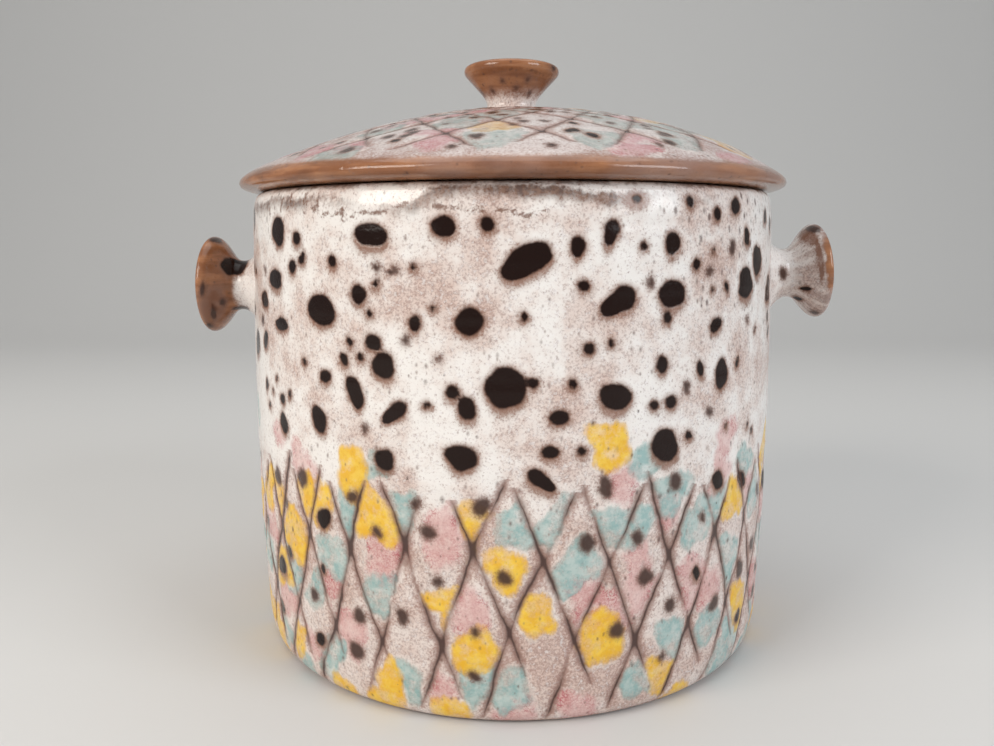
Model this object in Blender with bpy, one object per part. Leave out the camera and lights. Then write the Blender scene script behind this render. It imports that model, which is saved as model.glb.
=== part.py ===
"""Lidded stoneware soup tureen.

A nearly straight-sided round pot with a rounded rim and a shallow foot ring,
two spool-shaped lug handles on its left and right, and a low domed lid that
lies on the rim, overhangs it a little, and carries a trumpet-shaped knob.
A ring under the lid keeps it centred in the mouth.

Metres. +Z is up, +X runs to the right-hand lug, the foot stands on Z = 0.
"""
import math

import bmesh
import bpy
from mathutils import Matrix, Vector

# --------------------------------------------------------------- dimensions
GAP = 0.0003                # clear joint left between two pieces that meet

POT_HEIGHT = 0.1712         # foot to the top of the rim
POT_RIM_R = 0.1000          # outer radius just under the rim's lip
POT_BELLY_R = 0.1025        # widest outer radius, halfway up
POT_BASE_R = 0.0965         # outer radius where the wall meets the table
POT_MOUTH_R = 0.0933        # inner radius at the mouth
POT_INNER_R = 0.0954        # widest inner radius
POT_FLOOR_Z = 0.0092        # top of the floor
FOOT_INNER_R = 0.0780       # inner radius of the foot ring
FOOT_RECESS = 0.0025        # how far the base is hollowed inside the foot

LID_R = 0.1053              # outer radius of the lid's nose
LID_SEAT_Z = POT_HEIGHT + GAP
LID_TOP_Z = 0.2040          # top of the dome
LID_UNDER_Z = 0.1966        # top of the hollow under the dome

FLANGE_OUT_R = 0.0918       # locating ring, outer radius
FLANGE_IN_R = 0.0862        # locating ring, inner radius
FLANGE_DEPTH = 0.0127       # how far the ring reaches below the seat

KNOB_NECK_R = 0.0096
KNOB_R = 0.0187
KNOB_TOP_Z = 0.2216

LUG_RIGHT_Z = 0.1405        # height of the right-hand lug's neck
LUG_LEFT_Z = 0.1357         # the left-hand one sits a little lower
LUG_RIGHT_TILT = 4.5        # degrees by which the right lug points upwards
LUG_LEFT_TILT = 2.0
LUG_LEFT_IN = 0.0010        # how much closer the left lug stands
LUG_LEFT_WIDE = 1.03        # and how much wider it is
LUG_PIVOT = 0.1100          # the neck's distance from the pot's axis
LUG_NECK_R = 0.0097
LUG_DISC_R = 0.0190
LUG_REACH = 0.1250          # from the pot's axis to the lug's end, untilted

SEG_LARGE = 60              # facets round the pot and the lid
SEG_SMALL = 30              # facets round the lugs and the knob

# profiles are (radius, height) pairs
POT_OUTER = [
    (POT_BASE_R - 0.0022, 0.0000), (POT_BASE_R, 0.0005), (0.0984, 0.0024),
    (0.1000, 0.0070), (0.1012, 0.0210), (0.1021, 0.0410),
    (POT_BELLY_R, 0.0700), (0.1024, 0.1000), (0.1018, 0.1300),
    (0.1010, 0.1560), (0.1006, 0.1655), (POT_RIM_R - 0.0002, 0.1689),
    (0.0986, 0.1706), (0.0970, POT_HEIGHT),
]
POT_INNER = [
    (0.0955, POT_HEIGHT), (0.0941, 0.1706), (POT_MOUTH_R, 0.1686),
    (POT_MOUTH_R, 0.1630), (0.0946, 0.1440), (POT_INNER_R, 0.1100),
    (0.0953, 0.0650), (0.0944, 0.0390), (0.0922, 0.0255),
    (0.0878, 0.0165), (0.0800, 0.0112), (0.0660, POT_FLOOR_Z + 0.0002),
    (0.0, POT_FLOOR_Z),
]
LID_PROFILE = [
    (0.0, LID_TOP_Z), (0.0100, 0.2037), (0.0229, 0.2028), (0.0370, 0.2007),
    (0.0509, 0.1978), (0.0647, 0.1940), (0.0782, 0.1892), (0.0912, 0.1839),
    (0.0982, 0.1802), (0.1030, 0.1776), (0.1048, 0.1762), (LID_R, 0.1746),
    (0.1046, 0.1732), (0.1022, 0.1722), (0.0995, LID_SEAT_Z + 0.0001),
    (0.0980, LID_SEAT_Z),
    (FLANGE_IN_R - 0.0004, LID_SEAT_Z), (0.0846, 0.1728), (0.0818, 0.1762),
    (0.0752, 0.1806), (0.0640, 0.1857), (0.0500, 0.1902), (0.0340, 0.1937),
    (0.0170, 0.1959), (0.0, LID_UNDER_Z),
]
FLANGE_PROFILE = [
    (FLANGE_IN_R, LID_SEAT_Z - GAP),
    (FLANGE_OUT_R, LID_SEAT_Z - GAP),
    (FLANGE_OUT_R, LID_SEAT_Z - FLANGE_DEPTH + 0.0022),
    (FLANGE_OUT_R - 0.0007, LID_SEAT_Z - FLANGE_DEPTH + 0.0007),
    (FLANGE_OUT_R - 0.0022, LID_SEAT_Z - FLANGE_DEPTH),
    (FLANGE_IN_R + 0.0020, LID_SEAT_Z - FLANGE_DEPTH),
    (FLANGE_IN_R + 0.0006, LID_SEAT_Z - FLANGE_DEPTH + 0.0007),
    (FLANGE_IN_R, LID_SEAT_Z - FLANGE_DEPTH + 0.0022),
]
KNOB_BASE_Z = LID_TOP_Z + GAP
KNOB_PROFILE = [
    (0.0, KNOB_BASE_Z), (0.0096, KNOB_BASE_Z), (0.0100, 0.2048),
    (KNOB_NECK_R, 0.2062), (0.0099, 0.2079), (0.0112, 0.2101),
    (0.0131, 0.2123), (0.0155, 0.2149), (0.0175, 0.2170),
    (0.0185, 0.2182), (KNOB_R, 0.2193), (0.0182, 0.2205),
    (0.0169, 0.2213), (0.0150, KNOB_TOP_Z), (0.0110, 0.2212),
    (0.0060, 0.2207), (0.0, 0.2205),
]
# lug profile: (radius, distance from the pot's axis)
LUG_PROFILE = [
    (0.0, 0.0960), (0.0168, 0.0960), (0.0166, 0.1012), (0.0156, 0.1030),
    (0.0132, 0.1049), (0.0111, 0.1074), (LUG_NECK_R, 0.1104),
    (0.0102, 0.1130), (0.0120, 0.1153), (0.0146, 0.1175),
    (0.0171, 0.1196), (0.0185, 0.1212), (LUG_DISC_R, 0.1227),
    (0.0187, 0.1240), (0.0176, 0.1248), (0.0160, LUG_REACH),
    (0.0130, 0.1246), (0.0070, 0.1240), (0.0, 0.1238),
]
LUG_ROOT_R = 0.1024         # distance of the lug's origin from the axis


# ------------------------------------------------------------------ helpers
def clear_scene():
    for obj in list(bpy.data.objects):
        bpy.data.objects.remove(obj, do_unlink=True)


def glaze(name, colour, rough):
    mat = bpy.data.materials.new(name)
    mat.use_nodes = True
    shader = mat.node_tree.nodes["Principled BSDF"]
    shader.inputs["Base Color"].default_value = (*colour, 1.0)
    shader.inputs["Roughness"].default_value = rough
    mat.diffuse_color = (*colour, 1.0)
    return mat


def turned(name, profile, segments, origin=(0.0, 0.0, 0.0), closed=False,
           turn=None, material=None):
    """Solid of revolution: the profile is drawn in the XZ plane and spun once
    round Z. A profile that starts and ends on the axis closes at its two
    poles; a closed one makes a ring."""
    origin = Vector(origin)
    bm = bmesh.new()
    verts = [bm.verts.new((radius, 0.0, height)) for radius, height in profile]
    edges = [bm.edges.new(pair) for pair in zip(verts[:-1], verts[1:])]
    if closed:
        edges.append(bm.edges.new((verts[-1], verts[0])))
    bmesh.ops.spin(bm, geom=verts + edges, cent=(0.0, 0.0, 0.0),
                   axis=(0.0, 0.0, 1.0), dvec=(0.0, 0.0, 0.0),
                   angle=2.0 * math.pi, steps=segments, use_merge=True)
    bmesh.ops.remove_doubles(bm, verts=bm.verts, dist=1e-6)
    if turn is not None:
        bmesh.ops.transform(bm, matrix=turn, verts=bm.verts)
    bmesh.ops.translate(bm, vec=-origin, verts=bm.verts)
    bmesh.ops.recalc_face_normals(bm, faces=bm.faces)
    mesh = bpy.data.meshes.new(name)
    bm.to_mesh(mesh)
    bm.free()
    mesh.shade_smooth()
    mesh.set_sharp_from_angle(angle=math.radians(50.0))
    obj = bpy.data.objects.new(name, mesh)
    obj.location = origin
    bpy.context.scene.collection.objects.link(obj)
    if material is not None:
        mesh.materials.append(material)
    return obj


def cut(target, cutter):
    mod = target.modifiers.new("meet_the_wall", 'BOOLEAN')
    mod.operation = 'DIFFERENCE'
    mod.solver = 'EXACT'
    mod.object = cutter


# -------------------------------------------------------------------- build
def build():
    clear_scene()
    white = (0.80, 0.77, 0.73)
    brown = (0.33, 0.17, 0.09)

    # the pot: foot ring, wall, rounded rim, inside wall and floor
    pot_profile = ([(0.0, FOOT_RECESS), (FOOT_INNER_R - 0.0025, FOOT_RECESS),
                    (FOOT_INNER_R, 0.0)] + POT_OUTER + POT_INNER)
    turned("pot_body", pot_profile, SEG_LARGE,
           material=glaze("pot_glaze", white, 0.16))

    # what a lug has to stay clear of: the pot's outside, grown by the gap
    wall = [(0.0, -0.010), (0.0950, -0.010)]
    wall += [(r + GAP, z) for r, z in POT_OUTER[1:-2]]
    wall += [(0.0990, 0.1850), (0.0, 0.1850)]
    cutter = turned("wall_cutter", wall, SEG_LARGE)
    cutter.hide_render = True
    cutter.display_type = 'WIRE'

    for name, side, height, tilt, inward, wide, slot in (
            ("right_handle", 1.0, LUG_RIGHT_Z, LUG_RIGHT_TILT, 0.0, 1.0,
             "right_handle_glaze"),
            ("left_handle", -1.0, LUG_LEFT_Z, LUG_LEFT_TILT, LUG_LEFT_IN,
             LUG_LEFT_WIDE, "left_handle_glaze")):
        # laid on its side and tipped up about the middle of its neck
        turn = (Matrix.Translation((side * (LUG_PIVOT - inward), 0.0, height))
                @ Matrix.Rotation(math.radians((90.0 - tilt) * side), 4, 'Y')
                @ Matrix.Translation((0.0, 0.0, -LUG_PIVOT)))
        lug = turned(name, [(r * wide, x) for r, x in LUG_PROFILE],
                     SEG_SMALL, turn=turn,
                     origin=(side * LUG_ROOT_R, 0.0, height),
                     material=glaze(slot, white, 0.18))
        cut(lug, cutter)

    # the lid: dome, overhanging nose, flat seat and hollow underside
    turned("lid", LID_PROFILE, SEG_LARGE, origin=(0.0, 0.0, LID_SEAT_Z),
           material=glaze("lid_glaze", white, 0.16))
    turned("lid_flange", FLANGE_PROFILE, SEG_LARGE, closed=True,
           origin=(0.0, 0.0, LID_SEAT_Z - GAP),
           material=glaze("flange_glaze", white, 0.20))
    turned("lid_knob", KNOB_PROFILE, SEG_SMALL,
           origin=(0.0, 0.0, KNOB_BASE_Z),
           material=glaze("knob_glaze", brown, 0.18))


build()
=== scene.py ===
"""Looks of the soup tureen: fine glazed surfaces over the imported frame.

Each clay piece is built here as a fine turned mesh that stands for its CAD
node. The ornament is laid out in code: an incised lattice, loose dabs of
colour, dark blotches under the white glaze. It is kept on the meshes as
distances in millimetres to each line, blotch or dab, and one glaze shader
turns those distances into colour, gloss and relief.

Millimetres while shaping, metres in the meshes. -Y faces the viewer.
"""
import math

import bpy
import numpy as np
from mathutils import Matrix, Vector


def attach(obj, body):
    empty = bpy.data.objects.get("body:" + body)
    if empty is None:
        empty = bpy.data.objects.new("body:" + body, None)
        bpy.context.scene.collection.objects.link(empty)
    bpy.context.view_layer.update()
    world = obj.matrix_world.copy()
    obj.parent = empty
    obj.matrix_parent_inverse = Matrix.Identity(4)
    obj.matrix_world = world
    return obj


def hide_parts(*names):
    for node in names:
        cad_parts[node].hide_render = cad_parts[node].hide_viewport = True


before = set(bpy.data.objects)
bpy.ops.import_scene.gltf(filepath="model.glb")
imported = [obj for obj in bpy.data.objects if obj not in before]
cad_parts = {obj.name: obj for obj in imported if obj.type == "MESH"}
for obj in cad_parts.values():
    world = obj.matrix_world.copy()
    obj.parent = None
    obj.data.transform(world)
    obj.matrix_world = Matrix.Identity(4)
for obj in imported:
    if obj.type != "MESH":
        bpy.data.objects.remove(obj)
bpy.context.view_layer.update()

RNG = np.random.default_rng(5)
TAU = 2.0 * math.pi

# ------------------------------------------------------------------ profiles
POT_R = 102.3                     # radius that turns degrees into millimetres
RIM_Z = 171.2
SEAT_Z = 171.5

FOOT_LINE = [(0, 2.5), (40, 2.5), (74.5, 2.5), (76.6, 1.9), (77.8, 0.7),
             (79.2, 0.05), (82, 0.0), (90, 0.0), (94.2, 0.0)]
OUTER_LINE = [(94.2, 0.0), (95.7, 0.2), (97.2, 1.1), (98.4, 2.5),
              (99.3, 4.4), (100.0, 7.2), (100.6, 11.5), (101.2, 21),
              (102.0, 41), (102.35, 70), (102.25, 100), (101.7, 130),
              (101.0, 152), (100.5, 164.0), (99.9, 168.0), (98.8, 170.3),
              (97.2, 171.15)]
LIP_LINE = [(97.2, 171.15), (96.2, 171.2), (95.0, 170.95), (94.0, 170.2),
            (93.5, 168.8), (93.35, 166.5), (93.5, 162), (94.5, 146),
            (95.4, 112), (95.3, 66), (94.4, 40), (92.3, 26), (88.0, 16.8),
            (80.5, 11.4)]
FLOOR_LINE = [(80.5, 11.4), (70, 9.6), (50, 9.25), (25, 9.2), (0, 9.2)]

LID_TOP_LINE = [(0, 204.0), (8.7, 203.8), (22.9, 202.8), (37, 200.7),
                (50.9, 197.8), (64.7, 194.0), (78.2, 189.2), (88, 185.3),
                (94.6, 182.1), (99.4, 179.5), (102.8, 177.4),
                (104.6, 175.9), (105.2, 174.6), (104.7, 173.3),
                (103.2, 172.5), (101, 171.9)]
LID_UNDER_LINE = [(101, 171.9), (99.5, 171.6), (97.5, 171.5), (92, 171.5),
                  (86.2, 171.5), (85.0, 172.2), (83.4, 174.2),
                  (81.0, 176.8), (75.2, 180.6), (64, 185.7), (50, 190.2),
                  (34, 193.7), (17, 195.9), (0, 196.6)]

RING_LINE = [(86.3, 171.2), (91.7, 171.2), (91.75, 166), (91.7, 161.2),
             (91.2, 159.6), (89.9, 158.85), (88.2, 158.85), (86.9, 159.6),
             (86.3, 161.2), (86.25, 166), (86.3, 171.2)]

KNOB_LINE = [(0, 204.3), (9.5, 204.3), (10.35, 204.45), (9.9, 205.1),
             (9.6, 206.1), (9.75, 207.3), (10.2, 208.5), (11.2, 210.0),
             (13.1, 212.2), (15.4, 214.7), (17.3, 216.7), (18.35, 218.0),
             (18.65, 219.2), (18.3, 220.4), (17.1, 221.2), (15.3, 221.5),
             (12.5, 221.3), (7, 220.75), (0, 220.5)]

# lug: (radius, distance from the pot's axis)
LUG_LINE = [(17.6, 99.6), (16.9, 101.2), (15.9, 102.6), (14.3, 104.0),
            (12.6, 105.4), (11.1, 107.2), (10.1, 109.2), (9.75, 111.0),
            (10.1, 113.0), (11.3, 114.8), (13.3, 116.5), (15.6, 118.3),
            (17.4, 119.9), (18.5, 121.3), (18.95, 122.8), (18.6, 124.0),
            (17.6, 124.7), (16.0, 124.92), (13.0, 124.6), (7.0, 124.1),
            (0, 123.9)]
# each lug: height of its neck, degrees it points upwards, how much closer
# it stands, how much wider it is
LUG_SET = {"right": (140.5, 4.5, 0.0, 1.0), "left": (135.7, 2.0, 1.0, 1.03)}
LUG_PIVOT = 110.0


def smooth_line(points, step):
    """A smooth curve through the points, as evenly spaced as can be at about
    step, from the first point to the last."""
    p = np.array(points, float)
    ext = np.vstack([2 * p[0] - p[1], p, 2 * p[-1] - p[-2]])
    out = []
    for i in range(1, len(ext) - 2):
        p0, p1, p2, p3 = ext[i - 1:i + 3]
        t = [0.0]
        for a, b in ((p0, p1), (p1, p2), (p2, p3)):
            t.append(t[-1] + max(np.hypot(*(b - a)), 1e-6) ** 0.5)
        x = np.linspace(t[1], t[2], 24, endpoint=False)[:, None]
        a1 = (t[1] - x) / (t[1] - t[0]) * p0 + (x - t[0]) / (t[1] - t[0]) * p1
        a2 = (t[2] - x) / (t[2] - t[1]) * p1 + (x - t[1]) / (t[2] - t[1]) * p2
        a3 = (t[3] - x) / (t[3] - t[2]) * p2 + (x - t[2]) / (t[3] - t[2]) * p3
        b1 = (t[2] - x) / (t[2] - t[0]) * a1 + (x - t[0]) / (t[2] - t[0]) * a2
        b2 = (t[3] - x) / (t[3] - t[1]) * a2 + (x - t[1]) / (t[3] - t[1]) * a3
        out.append((t[2] - x) / (t[2] - t[1]) * b1
                   + (x - t[1]) / (t[2] - t[1]) * b2)
    dense = np.vstack(out + [p[-1:]])
    dense[:, 0] = np.maximum(dense[:, 0], 0.0)
    gone = np.hypot(*np.diff(dense, axis=0).T)
    s = np.concatenate([[0.0], np.cumsum(gone)])
    n = max(2, int(round(s[-1] / step)))
    at = np.linspace(0.0, s[-1], n + 1)
    return np.stack([np.interp(at, s, dense[:, 0]),
                     np.interp(at, s, dense[:, 1])], 1), at


# ------------------------------------------------------------------- meshes
class Skin:
    """Rings of points round an axis, joined into one closed mesh. Each ring
    has its own number of points, equal to the last ring's or half or twice
    it, and 1 at a pole."""

    def __init__(self):
        self.r, self.z, self.th, self.n = [], [], [], []
        self.s, self.chart, self.mat = [], [], []

    def ring(self, r, z, n, s, chart, mat):
        if r < 0.02:
            n, r = 1, 0.0
        self.n.append(n)
        self.th.append(np.arange(n) * TAU / n)
        self.r.append(np.full(n, float(r)))
        self.z.append(np.full(n, float(z)))
        self.s.append(float(s))
        self.chart.append(chart)
        self.mat.append(mat)

    def line(self, points, step, counts, chart, mat, skip_first=False):
        """counts is a function from radius to the number of points."""
        pts, at = smooth_line(points, step)
        for k, ((r, z), s) in enumerate(zip(pts, at)):
            if skip_first and k == 0:
                continue
            n = counts(r) if callable(counts) else counts
            if self.n and self.n[-1] > 1 and r >= 0.02:
                n = min(max(n, self.n[-1] // 2), self.n[-1] * 2)
            self.ring(r, z, n, s, chart, mat)

    def flat(self, key):
        return np.concatenate(getattr(self, key))

    def faces(self):
        """(corner vertex, corner's turn from 0 to 1, sizes, ring of face)"""
        start = np.concatenate([[0], np.cumsum(self.n)])
        vert, turn, size, ring = [], [], [], []

        def add(cols, i):
            # cols: list of (ring index, point index array, fraction array)
            v = np.stack([start[a] + k % self.n[a] for a, k, _ in cols], 1)
            f = np.stack([c for _, _, c in cols], 1)
            vert.append(v.ravel())
            turn.append(f.ravel())
            size.append(np.full(len(v), len(cols)))
            ring.append(np.full(len(v), i))

        for i in range(len(self.n) - 1):
            a, b = self.n[i], self.n[i + 1]
            if a == 1 or b == 1:
                m = max(a, b)
                k = np.arange(m)
                if a == 1 and b == 1:
                    continue
                mid = (k + 0.5) / m
                if a == 1:
                    add([(i, k * 0, mid), (i + 1, k, k / m),
                         (i + 1, k + 1, (k + 1) / m)], i)
                else:
                    add([(i, k, k / m), (i + 1, k * 0, mid),
                         (i, k + 1, (k + 1) / m)], i)
            elif a == b:
                k = np.arange(a)
                add([(i, k, k / a), (i + 1, k, k / a),
                     (i + 1, k + 1, (k + 1) / a), (i, k + 1, (k + 1) / a)], i)
            elif a == 2 * b:
                k = np.arange(b)
                add([(i, 2 * k, k / b), (i + 1, k, k / b),
                     (i, 2 * k + 1, (k + .5) / b)], i)
                add([(i, 2 * k + 1, (k + .5) / b), (i + 1, k, k / b),
                     (i + 1, k + 1, (k + 1) / b)], i)
                add([(i, 2 * k + 1, (k + .5) / b),
                     (i + 1, k + 1, (k + 1) / b),
                     (i, 2 * k + 2, (k + 1) / b)], i)
            elif b == 2 * a:
                k = np.arange(a)
                add([(i, k, k / a), (i + 1, 2 * k, k / a),
                     (i + 1, 2 * k + 1, (k + .5) / a)], i)
                add([(i, k, k / a), (i + 1, 2 * k + 1, (k + .5) / a),
                     (i, k + 1, (k + 1) / a)], i)
                add([(i, k + 1, (k + 1) / a),
                     (i + 1, 2 * k + 1, (k + .5) / a),
                     (i + 1, 2 * k + 2, (k + 1) / a)], i)
            else:
                raise ValueError("rings %d and %d don't join" % (a, b))
        return (np.concatenate(vert), np.concatenate(turn),
                np.concatenate(size), np.concatenate(ring))


def make_object(name, skin, xyz, materials, attributes, charts):
    """xyz is in metres. charts maps a chart name to its layout in the UV
    map: ("wall", u0, v0, scale) or ("disc", u, v, scale)."""
    vert, turn, size, ring = skin.faces()
    first = np.concatenate([[0], np.cumsum(size)[:-1]])
    # faces point outwards: tested on the signed volume
    tri = [(first, first + 1, first + 2)]
    quads = first[size == 4]
    tri.append((quads, quads + 2, quads + 3))
    vol = 0.0
    for a, b, c in tri:
        pa, pb, pc = xyz[vert[a]], xyz[vert[b]], xyz[vert[c]]
        vol += float(np.einsum("ij,ij->i", pa, np.cross(pb, pc)).sum())
    if vol < 0:
        face = np.repeat(np.arange(len(size)), size)
        k = np.arange(len(vert)) - first[face]
        order = first[face] + (size[face] - 1 - k)
        vert, turn = vert[order], turn[order]
    mesh = bpy.data.meshes.new(name)
    mesh.vertices.add(len(xyz))
    mesh.vertices.foreach_set("co", xyz.astype(np.float32).ravel())
    mesh.loops.add(len(vert))
    mesh.loops.foreach_set("vertex_index", vert.astype(np.int32))
    mesh.polygons.add(len(size))
    mesh.polygons.foreach_set("loop_start", first.astype(np.int32))
    mesh.polygons.foreach_set("loop_total", size.astype(np.int32))
    for m in materials:
        mesh.materials.append(m)
    mats = np.array(skin.mat)[ring]
    mesh.polygons.foreach_set("material_index", mats.astype(np.int32))
    mesh.polygons.foreach_set("use_smooth", np.ones(len(size), bool))
    mesh.update(calc_edges=True)
    # the map: each face lies on the chart of its first ring
    face = np.repeat(np.arange(len(size)), size)
    which = np.array([skin.chart[i] for i in ring])[face]
    starts = np.concatenate([[0], np.cumsum(skin.n)])
    ring_of = np.repeat(np.arange(len(skin.n)), skin.n)
    s_of = np.array(skin.s)[ring_of]
    r_of = skin.flat("r")
    uv = np.zeros((len(vert), 2))
    for key, (kind, a, b, scale) in charts.items():
        m = which == key
        if kind == "wall":
            s = s_of[vert[m]]
            # the last ring of a chart belongs to the next one, where s
            # starts again at 0, so its own length is put back
            top = max(x for x, c in zip(skin.s, skin.chart) if c == key)
            later = np.array(skin.chart)[ring_of[vert[m]]] != key
            s = np.where(later, top + 1.3, s)
            uv[m, 0] = a + turn[m] * (1.0 - 2 * a)
            uv[m, 1] = b + s * scale
        else:
            # the distance from the pole, along the surface
            ang = turn[m] * TAU
            own = [(r[0], x) for r, x, c in zip(skin.r, skin.s, skin.chart)
                   if c == key]
            total = max(x for _, x in own)
            s = s_of[vert[m]]
            later = np.array(skin.chart)[ring_of[vert[m]]] != key
            s = np.where(later, total + 1.3, s)
            if own[0][0] > own[-1][0]:
                s = np.where(later, total, total - s)
            rad = np.maximum(s, 0.0) * scale
            rad = np.where(r_of[vert[m]] < 0.02, 0.0, rad)
            uv[m, 0] = a + rad * np.sin(ang)
            uv[m, 1] = b + rad * np.cos(ang)
    layer = mesh.uv_layers.new(name="OFBake")
    layer.uv.foreach_set("vector", uv.astype(np.float32).ravel())
    for key, values in attributes.items():
        if values.ndim == 1:
            at = mesh.attributes.new(key, 'FLOAT', 'POINT')
            at.data.foreach_set("value", values.astype(np.float32))
        else:
            at = mesh.attributes.new(key, 'FLOAT_VECTOR', 'POINT')
            at.data.foreach_set("vector", values.astype(np.float32).ravel())
    mesh.validate()
    obj = bpy.data.objects.new(name, mesh)
    bpy.context.scene.collection.objects.link(obj)
    return obj


def upright(r, th, z):
    """Turned about Z, angle 0 facing the viewer."""
    return np.stack([r * np.sin(th), -r * np.cos(th), z], 1) * 0.001


# ----------------------------------------------------------------- ornament
def waves(seed, terms, th, v):
    """A soft random function that repeats round the piece: terms are
    (amplitude, highest whole number of waves round, waves per mm)."""
    rng = np.random.default_rng(seed)
    out = np.zeros_like(th)
    for amp, most, kv in terms:
        for _ in range(4):
            n = rng.integers(0, most + 1)
            k = rng.uniform(-kv, kv) * TAU
            out += amp * 0.5 * np.cos(n * th + k * v + rng.uniform(0, TAU))
    return out


def step01(x, lo, hi):
    t = np.clip((x - lo) / (hi - lo), 0.0, 1.0)
    return t * t * (3.0 - 2.0 * t)


def wrap(a):
    return (a + math.pi) % TAU - math.pi


class Lattice:
    """Two families of slanting lines. theta in degrees and v in mm; the
    lines of a family are pitch degrees apart, and a line moves half a pitch
    sideways in row mm of v."""

    def __init__(self, count, theta0, v0, row, seed, wobble):
        self.count, self.theta0, self.v0, self.row = count, theta0, v0, row
        self.pitch = 360.0 / count
        self.seed, self.wobble = seed, wobble
        rng = np.random.default_rng(seed)
        self.top = rng.uniform(-1, 1, (2, count))
        self.low = rng.uniform(0, 1, (2, count))
        self.bold = rng.uniform(0.78, 1.0, (2, count))

    def phases(self, th, v):
        t = (np.degrees(th) - self.theta0) / self.pitch
        s = (v - self.v0) / (2.0 * self.row)
        wa = waves(self.seed + 1, self.wobble, th, v)
        wb = waves(self.seed + 2, self.wobble, th, v)
        return t + s + wa, t - s + wb

    def scale(self, r):
        """Millimetres per whole phase, across the lines."""
        g = np.hypot(1.0 / (np.radians(self.pitch) * np.maximum(r, 1.0)),
                     1.0 / (2.0 * self.row))
        return 1.0 / g


class Fan(Lattice):
    """The same on the lid, where v is the radius: the lines are spirals, and
    one moves half a pitch sideways each time its radius grows by row."""

    def phases(self, th, v):
        t = (np.degrees(th) - self.theta0) / self.pitch
        s = np.log(np.maximum(v, 1.0) / self.v0) / (2.0 * math.log(self.row))
        return (t + s + waves(self.seed + 1, self.wobble, th, v),
                t - s + waves(self.seed + 2, self.wobble, th, v))

    def scale(self, r):
        return np.maximum(r, 1.0) / math.hypot(
            1.0 / math.radians(self.pitch), 1.0 / (2.0 * math.log(self.row)))


def line_gap(phase, mm):
    return np.abs(phase - np.round(phase)) * mm


def blob(dx, dy, a, b, turn, bumps):
    """Signed distance in mm to an uneven round shape, less than 0 inside.
    a and b are its half-axes, bumps the size and phase of its waves."""
    c, s = math.cos(turn), math.sin(turn)
    x, y = c * dx + s * dy, -s * dx + c * dy
    dist = np.hypot(dx, dy) + 1e-6
    rho = np.hypot(x / a, y / b) + 1e-6
    psi = np.arctan2(y / b, x / a)
    g = np.ones_like(psi)
    for k, (amp, ph) in enumerate(bumps, start=1):
        g += amp * np.cos(k * psi + ph)
    return dist * (1.0 - g / rho)


def bumpy(rng, amount):
    """Waves for blob: the first ones pull it into a drop, the later ones
    make its outline uneven."""
    return [(rng.uniform(0, 0.5) * amount, rng.uniform(0, TAU)),
            (rng.uniform(0, 0.6) * amount, rng.uniform(0, TAU)),
            (rng.uniform(0, 0.45) * amount, rng.uniform(0, TAU)),
            (rng.uniform(0, 0.3) * amount, rng.uniform(0, TAU)),
            (rng.uniform(0, 0.2) * amount, rng.uniform(0, TAU))]


def union(field, th, v, r, shape, clip=None, reach=None):
    """Adds one shape to a field of distances. shape is
    (theta in degrees, v, a, b, turn in degrees, bumps)."""
    t0, v0, a, b, turn, bumps = shape
    reach = reach or max(a, b) * 1.6 + 7.0
    near = np.flatnonzero(np.abs(v - v0) < reach)
    dx = wrap(th[near] - math.radians(t0)) * r[near]
    keep = np.abs(dx) < reach
    near, dx = near[keep], dx[keep]
    d = blob(dx, v[near] - v0, a, b, math.radians(turn), bumps)
    if clip is not None:
        d = np.maximum(d, clip(near))
    field[near] = np.minimum(field[near], d)


FAR = 30.0      # "nowhere near", in mm


def blank(n):
    """Every attribute that the glaze reads, with nothing drawn."""
    return {
        "spot": np.full(n, FAR), "blot": np.full(n, FAR),
        "halo": np.full(n, FAR),
        "dab_yellow": np.full(n, FAR), "dab_green": np.full(n, FAR),
        "dab_pink": np.full(n, FAR),
        "line_a": np.tile([0.0, -1.0, 0.0], (n, 1)),
        "line_b": np.tile([0.0, -1.0, 0.0], (n, 1)),
        "line_mm": np.full(n, 20.0),
        "band": np.zeros(n), "rim": np.full(n, 100.0),
        "ground": np.zeros(n), "run": np.full(n, -50.0),
        "heavy": np.zeros(n), "drip": np.full(n, FAR),
        "warm_tone_and_lamp_tint": np.full(n, 0.6), "dusty": np.zeros(n),
    }
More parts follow.
